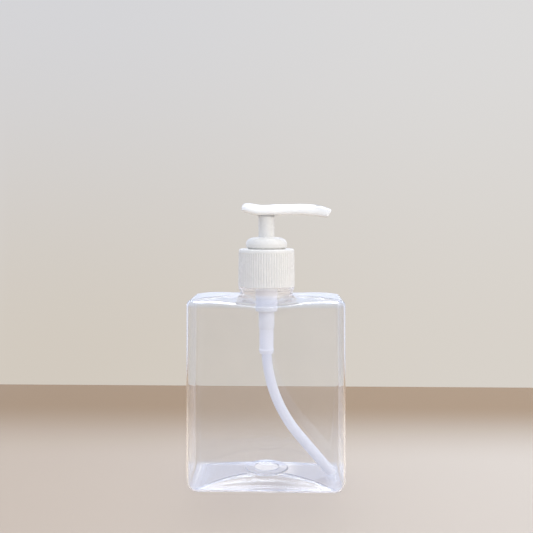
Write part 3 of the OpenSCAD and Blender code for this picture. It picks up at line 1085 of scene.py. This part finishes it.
    def neck(self) -> np.ndarray:
        """Outside of the neck, from its foot over the bead, up the screw thread and over the lip.

        Returns:
            Grid of points.
        """
        bead_top = self.closure.bottom - self.bead_gap
        top, lip = self.extent.top, self.lip_radius
        foot = profile(
            [(14.47, 102.98), (14.42, 103.15), (14.46, 103.5), (15.12, 105.4)],
            arc((self.bead_radius - 0.45, bead_top - 0.95), 0.45, -20, 0, 2),
            arc((self.bead_radius - 0.35, bead_top - 0.35), 0.35, 0, 90, 4),
            [(self.neck_radius + 0.4, bead_top)],
            arc((self.neck_radius + 0.4, bead_top + 0.4), 0.4, -90, -180, 3),
        )
        wall = np.column_stack([np.full(48, self.neck_radius), np.linspace(bead_top + 0.9, top - 0.9, 48)])
        over = profile(
            arc((self.neck_radius - lip, top - lip), lip, 0, 90, 4),
            arc((self.bore_radius + lip, top - lip), lip, 90, 180, 4),
        )
        foot, wall, over = (revolve(line, self.angles) for line in (foot, wall, over))
        return np.concatenate([foot, self.thread.on(wall, self.angles % TURN, self.neck_radius, top), over])

    def skin(self) -> Skin:
        """The whole wall as one grid from the middle of the underside to the middle of the inside.

        Returns:
            The closed surface.
        """
        lower, upper = self.heel(0.0), self.shoulder(0.0)
        share = np.linspace(0, 1, 12)[1:-1, None, None]
        side = lower[-1] + share * (upper[0] - lower[-1])
        inner_low, inner_up = self.heel(self.wall), self.shoulder(self.wall)
        inner_side = inner_low[-1] + share * (inner_up[0] - inner_low[-1])
        bore = [(self.bore_radius, 118.0), (self.bore_radius, 112.0)]
        inside = [
            revolve(profile(bore, curve_through(np.array(self.throat), 32)), self.angles),
            self.top(inner_up[-1], *self.inner_foot)[::-1],
            inner_up[::-1],
            inner_side[::-1],
            inner_low[::-1],
            self.base(self.wall)[::-1],
        ]
        crown = self.top(upper[-1], self.foot_radius, self.foot_height)
        outside = [self.base(0.0), lower, side, upper, crown, self.neck()]
        return Skin.over(np.concatenate(outside + inside), Ends.POLES)

    def build(self, finishes: Finishes) -> None:
        """Makes the bottle and dresses it.

        Args:
            finishes: finishes to choose from.
        """
        piece = self.skin().piece("clear_bottle", crease=50)
        place(piece, finishes.clear, "bottle", "bottle", "clear_plastic")


# ---------------------------------------------------------------- closure


@dataclass
class Closure:
    """Ribbed screw closure with a smooth band, an inner thread and a hole for the pump."""

    extent: Extent = extent_of("closure")
    bottle: Extent = extent_of("bottle")
    ribs: int = 68
    columns_per_rib: int = 10
    rib_depth: float = 0.2
    rib_sharpness: float = 1.6
    taper: float = 0.22
    band_step: float = 0.05
    band_height: float = 1.9
    band_edge: float = 1.1
    top_thickness: float = 1.65
    bore_radius: float = 13.95
    hole_radius: float = 7.99
    thread: Thread = Thread(-1.05)
    thread_lag: float = 1.65

    @property
    def angles(self) -> np.ndarray:
        """Angle of every column about the pump axis."""
        return full_turn(self.ribs * self.columns_per_rib)

    def outer(self) -> np.ndarray:
        """Outside, from the foot up the ribs, over the band's edge and in to the hole.

        The radius is the closure's, less the taper with height, less the groove depth times a
        rounded wave of the rib count, which fades out at both ends of the ribs.

        Returns:
            Grid of points.
        """
        low, high = self.extent.bottom, self.extent.top
        radius = self.extent.reach
        band_radius = radius - self.taper - self.band_step
        band_foot = high - self.band_height
        wall = profile(
            arc((radius - 0.35, low + 0.35), 0.35, -90, 0, 4),
            np.column_stack([np.full(9, radius), np.linspace(low + 0.6, band_foot - 0.45, 9)]),
            np.column_stack([np.full(4, radius), np.linspace(band_foot - 0.3, band_foot + 0.05, 4)]),
        )
        edge = profile(
            [(band_radius + self.taper, band_foot + 0.2)],
            arc((band_radius - self.band_edge, high - self.band_edge), self.band_edge, 0, 90, 9),
            [(12.0, high), (9.0, high)],
            arc((self.hole_radius + 0.3, high - 0.3), 0.3, 90, 180, 3),
        )
        grid = revolve(profile(wall, edge), self.angles)
        height = grid[..., 2]
        share = (height - low) / (high - low)
        wave = (0.5 + 0.5 * np.cos(self.angles * self.ribs)) ** self.rib_sharpness
        held = ramp(height, low + 0.25, low + 0.7) * (1 - ramp(height, band_foot - 0.35, band_foot))
        body = np.arange(grid.shape[0])[:, None] < len(wall) + 1
        out = np.hypot(grid[..., 0], grid[..., 1])
        cut = body * (self.taper * share + self.rib_depth * wave * held)
        grid[..., :2] *= ((out - cut) / out)[..., None]
        return grid

    def inner(self) -> np.ndarray:
        """Inside, from the hole down the bore with its thread to the foot.

        Returns:
            Grid of points.
        """
        low, high = self.extent.bottom, self.extent.top
        ceiling = high - self.top_thickness
        roof = profile(
            [(self.hole_radius, ceiling + 0.01), (10.5, ceiling)],
            arc((self.bore_radius - 0.4, ceiling - 0.4), 0.4, 90, 0, 3),
        )
        wall = np.column_stack([np.full(34, self.bore_radius), np.linspace(ceiling - 1.0, low + 0.7, 34)])
        foot = profile(
            [(self.bore_radius, low + 0.35)], arc((self.bore_radius + 0.25, low + 0.25), 0.25, 180, 270, 3)
        )
        roof, wall, foot = (revolve(line, self.angles) for line in (roof, wall, foot))
        wall = self.thread.on(wall, self.angles, self.bore_radius, self.bottle.top - self.thread_lag)
        return np.concatenate([roof, wall, foot])

    def build(self, finishes: Finishes) -> None:
        """Makes the closure and dresses it.

        Args:
            finishes: finishes to choose from.
        """
        grid = np.concatenate([self.outer(), self.inner()])
        piece = Skin.over(grid, Ends.LOOP).piece("ribbed_closure", crease=48)
        place(piece, finishes.closure, "closure", "closure", "white_plastic")


# ---------------------------------------------------------------- pump


@dataclass
class PumpBody:
    """What the pump keeps still: housing, collar, dip tube, spring, ball cage and gasket."""

    housing: Extent = extent_of("pump_housing")
    collar: Extent = extent_of("lock_collar")
    tube: Extent = extent_of("dip_tube")
    spring: Extent = extent_of("return_spring")
    closure: Extent = extent_of("closure")
    columns: int = 128
    stroke: float = 11.3
    guide_radius: float = 4.53
    skirt_radius: float = 7.65
    skirt_bore: float = 5.5
    flange_radius: float = 12.5
    cylinder_radius: float = 6.1
    cylinder_bore: float = 5.2
    chamber_radius: float = 4.35
    chamber_bore: float = 3.3
    socket_radius: float = 3.9
    socket_bore: float = 2.85
    tube_radius: float = 2.8
    tube_wall: float = 0.7
    tube_bend_top: float = 73.36
    tube_bend_radius: float = 75.3
    tube_angle: float = 41.0
    tube_end: Pair = (36.2, 3.6)
    tube_cut: float = 25.0
    wire_radius: float = 0.36
    coils: float = 6.9
    closed_coils: float = 0.8
    closed_climb: float = 0.045

    def housing_profile(self) -> np.ndarray:
        """Closed outline of the housing: flange, cup, cylinder with its foot ring, chamber and socket.

        Returns:
            Rows of (radius, height).
        """
        top, foot, flange = self.housing.top, self.housing.bottom, self.flange_radius
        cylinder, chamber, socket = self.cylinder_radius, self.chamber_radius, self.socket_radius
        outside = profile(
            [(7.7, top), (flange - 0.3, top)],
            arc((flange - 0.25, top - 0.25), 0.25, 90, 0, 3),
            [(flange, top - 1.7), (9.0, top - 1.7), (9.0, 119.15), (cylinder + 0.5, 118.1)],
            [(cylinder, 117.4), (cylinder, 110.0), (cylinder, 98.0), (cylinder, 96.95)],
            arc((cylinder - 0.15, 96.4), 0.52, 65, -65, 8),
            [(cylinder - 0.1, 95.6), (cylinder - 0.1, 94.4)],
            arc((cylinder - 0.5, 93.88), 0.62, 50, -90, 8),
            [(chamber + 0.35, 93.26)],
            arc((chamber + 0.35, 92.91), 0.35, 90, 180, 3),
            [(chamber, 90.0), (chamber, 87.0), (chamber, 84.2), (chamber - 0.15, 83.9)],
            [(socket + 0.05, 83.45), (socket, 83.2), (socket, 78.0), (socket, 72.75)],
            arc((socket - 0.38, 71.8), 0.72, 58, -50, 8),
            arc((socket - 0.3, foot + 0.3), 0.3, 0, -90, 3),
        )
        inside = profile(
            [(self.socket_bore + 0.4, foot), (self.socket_bore, foot + 1.2), (self.socket_bore, 78.0)],
            [(self.socket_bore, 82.66), (1.5, 82.66), (1.5, 84.26), (self.chamber_bore, 86.46)],
            [(self.chamber_bore, 94.46), (self.cylinder_bore, 94.46)],
            [(self.cylinder_bore, 120.35), (7.7, 120.35)],
        )
        return profile(outside, inside)

    def collar_profile(self) -> np.ndarray:
        """Closed outline of the domed collar, with its raised inner rim and the skirt below.

        Returns:
            Rows of (radius, height).
        """
        low, guide, skirt, bore = self.collar.bottom, self.guide_radius, self.skirt_radius, self.skirt_bore
        seat = self.closure.top + 0.05
        dome = curve_through(
            np.array(
                [(5.75, 134.28), (6.6, 134.33), (7.8, 134.2), (9.3, 133.72), (10.3, 133.1), (10.95, 132.3)]
                + [(11.35, 131.4), (11.55, 130.5), (11.5, 129.8)]
            ),
            26,
        )
        return profile(
            [(guide, 126.35), (guide, 134.35)],
            arc((guide + 0.22, 134.36), 0.22, 180, 90, 3),
            arc((guide + 0.75, 134.34), 0.24, 90, 25, 3),
            [(5.6, 134.3)],
            dome,
            arc((10.2, 129.7), 1.3, 0, -70, 8),
            [(10.3, seat + 0.12), (10.2, seat), (skirt, seat)],
            [(skirt, 124.0), (skirt, low), (bore, low), (bore, 125.4)],
        )

    def tube_grid(self) -> np.ndarray:
        """Dip tube as an outer and an inner wall along one path.

        The path runs straight down, then on a circular bend, then straight to the base. A point at
        angle p round the tube lies at r cos p to the outer side of the bend and r sin p along Y, and
        the last stretch is longer by r cos p tan(cut), which slants the end.

        Returns:
            Grid of points.
        """
        top, turn = self.tube.top, math.radians(self.tube_angle)
        bend = np.linspace(0, turn, 40)
        big = self.tube_bend_radius
        x = np.concatenate([[0, 0, 0], big * (1 - np.cos(bend))])
        z = np.concatenate([[top, top - 3, top - 6], self.tube_bend_top - big * np.sin(bend)])
        lean = np.concatenate([[0, 0, 0], bend])
        length = math.hypot(self.tube_end[0] - x[-1], self.tube_end[1] - z[-1])
        share = np.append(np.zeros(len(x)), np.linspace(0, 1, 12)[1:])
        x, z, lean = (np.pad(values, (0, len(share) - len(values)), mode="edge") for values in (x, z, lean))
        run = (share * length)[:, None]
        slant = share[:, None] * math.tan(math.radians(self.tube_cut))
        p = full_turn(48)
        walls = []
        for radius in (self.tube_radius, self.tube_radius - self.tube_wall):
            side = radius * np.cos(p)
            on = run + slant * side
            px = x[:, None] + side * np.cos(lean)[:, None] + on * np.sin(lean)[:, None]
            pz = z[:, None] + side * np.sin(lean)[:, None] - on * np.cos(lean)[:, None]
            walls.append(np.stack([px, np.broadcast_to(radius * np.sin(p), px.shape), pz], axis=-1))
        return np.concatenate([walls[0], walls[1][::-1]])

    def spring_grid(self) -> np.ndarray:
        """Spring wire: a circle carried along a helix whose end coils lie closed.

        The wire's middle is at (radius cos a, radius sin a, z), with a running evenly and z climbing
        little in the end coils. The circle shrinks to a point at both ends.

        Returns:
            Grid of points.
        """
        low, high = self.spring.bottom, self.spring.top
        radius = self.spring.reach - self.wire_radius
        t = np.linspace(0, 1, 520)
        closed, low_climb = self.closed_coils / self.coils, self.closed_climb
        climb = np.interp(t, [0, closed, 1 - closed, 1], [0, low_climb, 1 - low_climb, 1])
        smooth = np.convolve(np.pad(climb, 12, mode="edge"), np.ones(25) / 25, mode="valid")
        z = low + self.wire_radius + smooth * (high - low - 2 * self.wire_radius)
        a = (t * self.coils * TURN)[:, None]
        p = full_turn(12)
        shrink = np.ones((len(t), 1))
        shrink[[0, -1]] = 0.01
        out = radius + self.wire_radius * np.cos(p) * shrink
        height = z[:, None] + self.wire_radius * np.sin(p) * shrink
        return np.stack([out * np.cos(a), out * np.sin(a), height], axis=-1)

    def build(self, finishes: Finishes, nodes: dict[str, bpy.types.Object]) -> None:
        """Makes the new pieces, and dresses the CAD nodes that stay.

        Args:
            finishes: finishes to choose from.
            nodes: CAD nodes by name.
        """
        a = full_turn(self.columns)
        housing = Skin.over(revolve(self.housing_profile(), a), Ends.LOOP).piece("housing")
        place(housing, finishes.housing, "pump", "pump_housing", "natural_plastic")
        collar = Skin.over(revolve(self.collar_profile(), a), Ends.LOOP).piece("domed_collar")
        place(collar, finishes.white, "pump", "lock_collar", "white_plastic")
        tube = Skin.over(self.tube_grid(), Ends.LOOP).piece("curved_dip_tube")
        place(tube, finishes.tube, "pump", "dip_tube", "natural_plastic")
        spring = Skin.over(self.spring_grid(), Ends.POLES).piece("coil_spring")
        place(spring, finishes.spring, "pump", "return_spring", "spring_steel")
        length = self.spring.top - self.spring.bottom + 0.1
        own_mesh(spring)
        dress(nodes["ball_cage"], finishes.inner_white)
        dress(nodes["inlet_ball"], finishes.ball)
        dress(nodes["gasket"], finishes.foam)
        dress(nodes["piston"], finishes.soft)


@dataclass
class Head:
    """Press-down head: a lofted body with its spout, and the tube that runs down through the collar."""

    extent: Extent = extent_of("actuator")
    stem: Extent = extent_of("stem")
    underside: float = 146.25
    tube_radius: float = 4.45
    tube_bore: float = 2.85
    tube_top: float = 145.9
    squareness: float = 2.1
    waist: float = 0.3
    rim_radius: float = 0.35
    outlet_radius: float = 1.2
    outlet_depth: float = 9.0
    columns: int = 96

    def sections(self) -> np.ndarray:
        """Knots of the head: crown (x, height), belly (x, height) and half width, over the underside.

        Returns:
            One row of five sizes for each knot.
        """
        return np.array(
            [
                (-13.9, 3.9, -13.9, 3.9, 0.0),
                (-13.72, 5.0, -13.72, 3.05, 2.6),
                (-13.2, 6.05, -13.2, 2.55, 4.5),
                (-12.2, 6.82, -12.3, 2.1, 6.1),
                (-10.5, 7.04, -10.4, 1.42, 7.3),
                (-8.2, 6.85, -8.2, 0.75, 7.9),
                (-4.9, 6.3, -4.9, 0.15, 8.0),
                (0.0, 6.1, 0.0, -0.05, 7.5),
                (3.6, 6.4, 3.8, 0.12, 6.3),
                (8.5, 6.5, 8.5, 0.38, 5.0),
                (15.2, 6.64, 14.8, 0.55, 4.3),
                (21.9, 6.6, 21.0, 0.45, 4.0),
                (27.0, 6.25, 26.0, 0.12, 3.7),
                (30.3, 5.65, 29.2, -0.3, 3.5),
                (33.2, 4.75, 31.6, -0.62, 3.3),
                (35.9, 3.55, 33.6, -0.82, 3.15),
            ]
        )

    def body_grid(self) -> np.ndarray:
        """Head as rings between crown and belly, closed in the outlet.

        Each ring is a superellipse, |cos p|^(2/n) across and |sin p|^(2/n) up or down, with n the
        squareness, and its widest place lies a share of the height, the waist, over the belly. After
        the last ring the rim rounds over, the end face narrows to the outlet's circle, and that runs
        back into the spout.

        Returns:
            Grid of points.
        """
        line = curve_through(self.sections(), 110)
        crown = np.stack([line[:, 0], self.underside + line[:, 1]], axis=-1)
        belly = np.stack([line[:, 2], self.underside + line[:, 3]], axis=-1)
        mid, half, width = (crown + belly) / 2, (crown - belly) / 2, np.maximum(line[:, 4], 0)
        p = full_turn(self.columns)
        power = 2 / self.squareness
        across = np.sign(np.cos(p)) * np.abs(np.cos(p)) ** power
        arch = np.sign(np.sin(p)) * np.abs(np.sin(p)) ** power
        up = 2 * self.waist - 1 + arch * np.where(arch > 0, 2 - 2 * self.waist, 2 * self.waist)
        body = self.rings(mid, half, width, across, up)
        tip_mid, tip_half, tip_width = mid[-1], half[-1], width[-1]
        tall = math.hypot(*tip_half)
        upward = tip_half / tall
        ahead = np.array([upward[1], -upward[0]])
        rim = self.rim_radius
        a = np.radians(np.linspace(0, 90, 6))[1:, None]
        mids = tip_mid + rim * np.sin(a) * ahead
        halves = upward * (tall - rim * (1 - np.cos(a)))
        round_over = self.rings(mids, halves, (tip_width - rim * (1 - np.cos(a)))[:, 0], across, up)
        face = tip_mid + rim * ahead
        steps = np.array([0.0, -0.12, -0.4, -3.0, -self.outlet_depth, -self.outlet_depth - 0.01])
        radii = np.array([1.25, 1.02, 1.0, 1.0, 1.0, 0.01]) * self.outlet_radius
        mids, halves = face + steps[:, None] * ahead, radii[:, None] * upward
        outlet = self.rings(mids, halves, radii, np.cos(p), np.sin(p))
        return np.concatenate([body, round_over, outlet])

    @staticmethod
    def rings(
        mid: np.ndarray, half: np.ndarray, width: np.ndarray, across: np.ndarray, up: np.ndarray
    ) -> np.ndarray:
        """Rings of points about middles, with half heights and half widths.

        Args:
            mid: middle of each ring as (x, z).
            half: vector from the middle to the crown as (x, z).
            width: half width of each ring.
            across: share of the width at each point of a ring.
            up: share of the half height at each point of a ring.

        Returns:
            Grid of points.
        """
        x = mid[:, :1] + half[:, :1] * up
        z = mid[:, 1:] + half[:, 1:] * up
        return np.stack([x, width[:, None] * across, z], axis=-1)

    def tube_profile(self) -> np.ndarray:
        """Closed outline of the tube, with its bore for the stem, ending inside the head.

        Returns:
            Rows of (radius, height).
        """
        foot, stem_top = self.extent.bottom, self.stem.top
        return profile(
            arc((self.tube_radius - 0.25, foot + 0.25), 0.25, -90, 0, 3),
            [(self.tube_radius, 126.0), (self.tube_radius, 134.0), (self.tube_radius, 140.0)],
            [(self.tube_radius, 145.3)],
            arc((self.tube_radius + 0.6, 145.7), 0.6, 180, 110, 4),
            [(self.tube_radius + 0.3, 147.6), (self.tube_bore, 147.6), (self.tube_bore, stem_top)],
            [(self.tube_bore, 130.0), (self.tube_bore, foot)],
        )

    def build(self, finishes: Finishes, nodes: dict[str, bpy.types.Object]) -> None:
        """Makes the head and dresses it, with the stem and the plug below it.

        The lofted body takes the head's white, glossier and painted lighter; the faces below the tube's top take
        the second of the piece's two finishes, the darker moulded white, as painted shade under the head.

        Args:
            finishes: finishes to choose from.
            nodes: CAD nodes by name.
        """
        body = Skin.over(self.body_grid(), Ends.POLES)
        tube = Skin.over(revolve(self.tube_profile(), full_turn(self.columns)), Ends.LOOP)
        piece = body.with_skin(tube).piece("press_down_head")
        place(piece, finishes.head, "head", "actuator", "white_plastic")
        piece.data.materials.append(finishes.white)
        middles = np.empty(3 * len(piece.data.polygons), np.float32)
        piece.data.polygons.foreach_get("center", middles)
        # painted shade: faces below the tube's top get the darker white
        below = middles[2::3] < self.tube_top * MM
        piece.data.polygons.foreach_set("material_index", below.astype(np.int32))
        dress(nodes["stem"], finishes.inner_white)
        dress(nodes["stem_plug"], finishes.inner_white)


# ---------------------------------------------------------------- stage


@dataclass
class Studio:
    """Camera, pale floor and soft lamps."""

    lens_mm: float = 46.58
    shift_y: float = -0.0867
    eye: tuple[float, float, float] = (10.07, -384.57, 143.86)
    turn: float = 1.5
    floor_far: float = 214.0
    floor_span: float = 2500.0
    lamps_aim: tuple[float, float, float] = (0.0, 0.0, 0.09)

    def camera(self) -> None:
        """Level camera in front of the bottle, a little to the right of the pump axis."""
        data = bpy.data.cameras.new("camera")
        data.lens, data.sensor_width, data.shift_y = self.lens_mm, 36.0, self.shift_y
        data.clip_start, data.clip_end = 0.01, 20.0
        camera = bpy.data.objects.new("camera", data)
        bpy.context.scene.collection.objects.link(camera)
        camera.location = Vector(self.eye) * MM
        camera.rotation_euler = (math.radians(90), 0, math.radians(self.turn))
        bpy.context.scene.camera = camera

    def floor(self) -> None:
        """Flat pale table that ends at the wall behind; its tone warms and darkens towards the wall. It is
        painted lighter towards the right, as painted light, and darker far out to both sides, as painted shade.
        """
        x, y = self.floor_span * MM, self.floor_far * MM
        mesh = bpy.data.meshes.new("table")
        mesh.from_pydata([(-x, -x, 0), (x, -x, 0), (x, y, 0), (-x, y, 0)], [], [(0, 1, 2, 3)])
        table = bpy.data.objects.new("table", mesh)
        bpy.context.scene.collection.objects.link(table)
        made, n = blank("pale_table")
        across, along, _ = n.axes()
        # painted light: the table is lighter towards the right, where the window lamp stands
        right = n.span(across, -0.2, 0.2)
        near = n.mix(right, tone(180, 165, 149), tone(198, 188, 176))
        far = n.mix(right, tone(142, 119, 93), tone(147, 124, 98))
        colour = n.mix(n.span(along, 0.025, 0.155), near, far)
        # painted shade: the table darkens far out to both sides, away from the bottle
        outer = n.span(n.math("ABSOLUTE", across), 0.19, 0.4, (0, 0.6))
        colour = n.mix(outer, colour, tone(150, 135, 120))
        n.finish(n.shader({"Base Color": colour}, {"Roughness": 0.6, "Specular IOR Level": 0.2}))
        table.data.materials.append(made)

    def lamp(
        self, name: str, spot: tuple[float, float, float], size: Pair, watts: float, colour: Colour
    ) -> None:
        """Rectangular lamp that faces the bottle.

        Args:
            name: name of the lamp.
            spot: place in metres.
            size: width and height in metres.
            watts: strength.
            colour: colour of its light.
        """
        data = bpy.data.lights.new(name, "AREA")
        data.shape, data.size, data.size_y = "RECTANGLE", size[0], size[1]
        data.energy, data.color = watts, colour
        made = bpy.data.objects.new(name, data)
        bpy.context.scene.collection.objects.link(made)
        made.location = spot
        way = Vector(self.lamps_aim) - Vector(spot)
        made.rotation_euler = way.to_track_quat("-Z", "Y").to_euler()

    def lamps(self) -> None:
        """Window light from the upper right, and a strip above and a little behind."""
        self.lamp("window", (1.0, -0.55, 0.95), (0.9, 0.9), 4.05, (1.0, 0.985, 0.955))
        self.lamp("ceiling", (0.0, 0.42, 1.15), (0.7, 0.3), 2.6, (0.98, 0.98, 1.0))


class Room:
    """Light of the room by direction, apart for what is seen, what is lit and what is mirrored."""

    def __init__(self, n: Nodes) -> None:
        """Splits the direction into its parts.

        Args:
            n: nodes of an empty world.
        """
        self.n = n
        self.right, self.ahead, self.up = n.axes("Generated")
        self.aside, self.slope = n.math("ABSOLUTE", self.right), n.math("ABSOLUTE", self.up)
        self.across = n.span(self.right, -0.9, 0.9)

    def wall(self) -> Socket:
        """Tones of the wall, warmer at its foot and a little brighter on the right.

        Returns:
            The colour.
        """
        n = self.n
        side = n.span(self.right, -0.35, 0.35)
        low = n.mix(side, tone(210, 202, 191), tone(216, 210, 202))
        high = n.mix(side, tone(213, 213, 216), tone(220, 219, 219))
        return n.mix(n.span(self.up, -0.22, 0.34), low, high)

    def wall_zone(self) -> Socket:
        """Share of the wall: 1 straight ahead and below, 0 to the sides, above and behind.

        Returns:
            The share.
        """
        n = self.n
        return n.product(
            n.span(self.aside, 0.37, 0.5, (1, 0)),
            n.span(self.up, 0.305, 0.38, (1, 0)),
            n.span(self.ahead, 0.0, 0.3),
        )

    def around(self) -> Socket:
        """Soft light from all sides: dim and cool left, warmer right, brightest from above.

        Returns:
            The colour.
        """
        n = self.n
        level = n.mix(self.across, (0.43, 0.44, 0.52), (0.98, 0.96, 0.94))
        level = n.mix(n.span(self.ahead, 0.1, 0.6), level, (0.86, 0.88, 1.0))
        sky = n.mix(n.span(self.right, -0.7, 0.7), (1.0, 1.08, 1.22), (1.05, 1.05, 1.1))
        bluer = n.product(n.span(self.ahead, 0.1, 0.5), n.span(self.up, 0.85, 0.97, (1, 0)))
        sky = n.mix(bluer, sky, (0.97, 1.06, 1.28))
        return n.mix(n.span(self.up, 0.15, 0.45), level, sky)

    def lit(self, around: Socket) -> Socket:
        """Soft light, with bright windows behind the viewer that are never seen directly or through plastic.

        Args:
            around: light from all sides.

        Returns:
            The light that falls on every surface.
        """
        n = self.n
        path = n.add("LightPath").outputs
        unseen = n.math("LESS_THAN", n.math("ADD", path["Is Camera Ray"], path["Is Transmission Ray"]), 0.5)
        windows = n.product(
            n.span(self.ahead, -0.85, -0.25, (1, 0)), n.span(self.slope, 0.25, 0.5, (1, 0)), unseen
        )
        light = n.mix(n.span(self.right, -0.3, 0.8), (0.9, 1.06, 1.33), (2.05, 1.98, 1.88))
        return n.mix(windows, around, light)

    def mirrored(self, around: Socket, wall_zone: Socket) -> Socket:
        """Light met by reflections: pale left and ahead, a lamp high up and a narrow bright strip ahead.

        Args:
            around: light from all sides.
            wall_zone: share of the wall.

        Returns:
            The light that is mirrored.
        """
        n = self.n
        left = n.product(n.span(self.right, -0.85, -0.4, (1, 0)), n.span(self.slope, 0.5, 0.7, (1, 0)))
        lamp = n.product(
            n.span(self.up, 0.76, 0.88),
            n.span(self.ahead, -0.12, 0.12),
            n.span(self.aside, 0.3, 0.5, (1, 0)),
        )
        strip = n.product(
            n.span(self.up, 0.29, 0.315),
            n.span(self.up, 0.355, 0.38, (1, 0)),
            n.span(self.ahead, 0.5, 0.8),
            n.span(self.aside, 0.07, 0.12, (1, 0)),
        )
        light = n.mix(left, around, (1.05, 1.15, 1.38))
        light = n.mix(lamp, light, (6.0, 6.0, 5.7))
        light = n.mix(wall_zone, light, n.mix(self.across, (0.95, 1.05, 1.3), (1.0, 1.02, 1.15)))
        return n.mix(strip, light, (1.9, 1.9, 1.9))

    def build(self) -> None:
        """Joins the light by kind of ray; the mirrored one holds for directions above the table."""
        n = self.n
        around, wall_zone = self.around(), self.wall_zone()
        direct = n.mix(wall_zone, self.lit(around), self.wall())
        glossy = n.math("GREATER_THAN", n.add("LightPath").outputs["Glossy Depth"], 0.5)
        share = n.product(glossy, n.span(self.up, -0.02, 0.1))
        colour = n.mix(share, direct, self.mirrored(around, wall_zone))
        n.add("OutputWorld", {"Surface": n.add("Background", {"Color": colour, "Strength": 1.0}).outputs[0]})


def main() -> None:
    """Makes the camera first, then every piece, the stage and the view settings."""
    logging.basicConfig(level=logging.INFO, format="%(name)s: %(message)s")
    studio = Studio()
    studio.camera()
    finishes = Finishes.made()
    Bottle().build(finishes)
    Closure().build(finishes)
    PumpBody().build(finishes, frame["nodes"])
    Head().build(finishes, frame["nodes"])
    studio.floor()
    studio.lamps()
    scene = bpy.context.scene
    scene.world = bpy.data.worlds.new("room")
    scene.world.use_nodes = True
    Room(Nodes(scene.world.node_tree)).build()
    scene.view_settings.view_transform = "Standard"
    scene.cycles.max_bounces, scene.cycles.glossy_bounces = 128, 128
    scene.cycles.transmission_bounces, scene.cycles.transparent_max_bounces = 128, 32


if __name__ == "__main__":
    main()
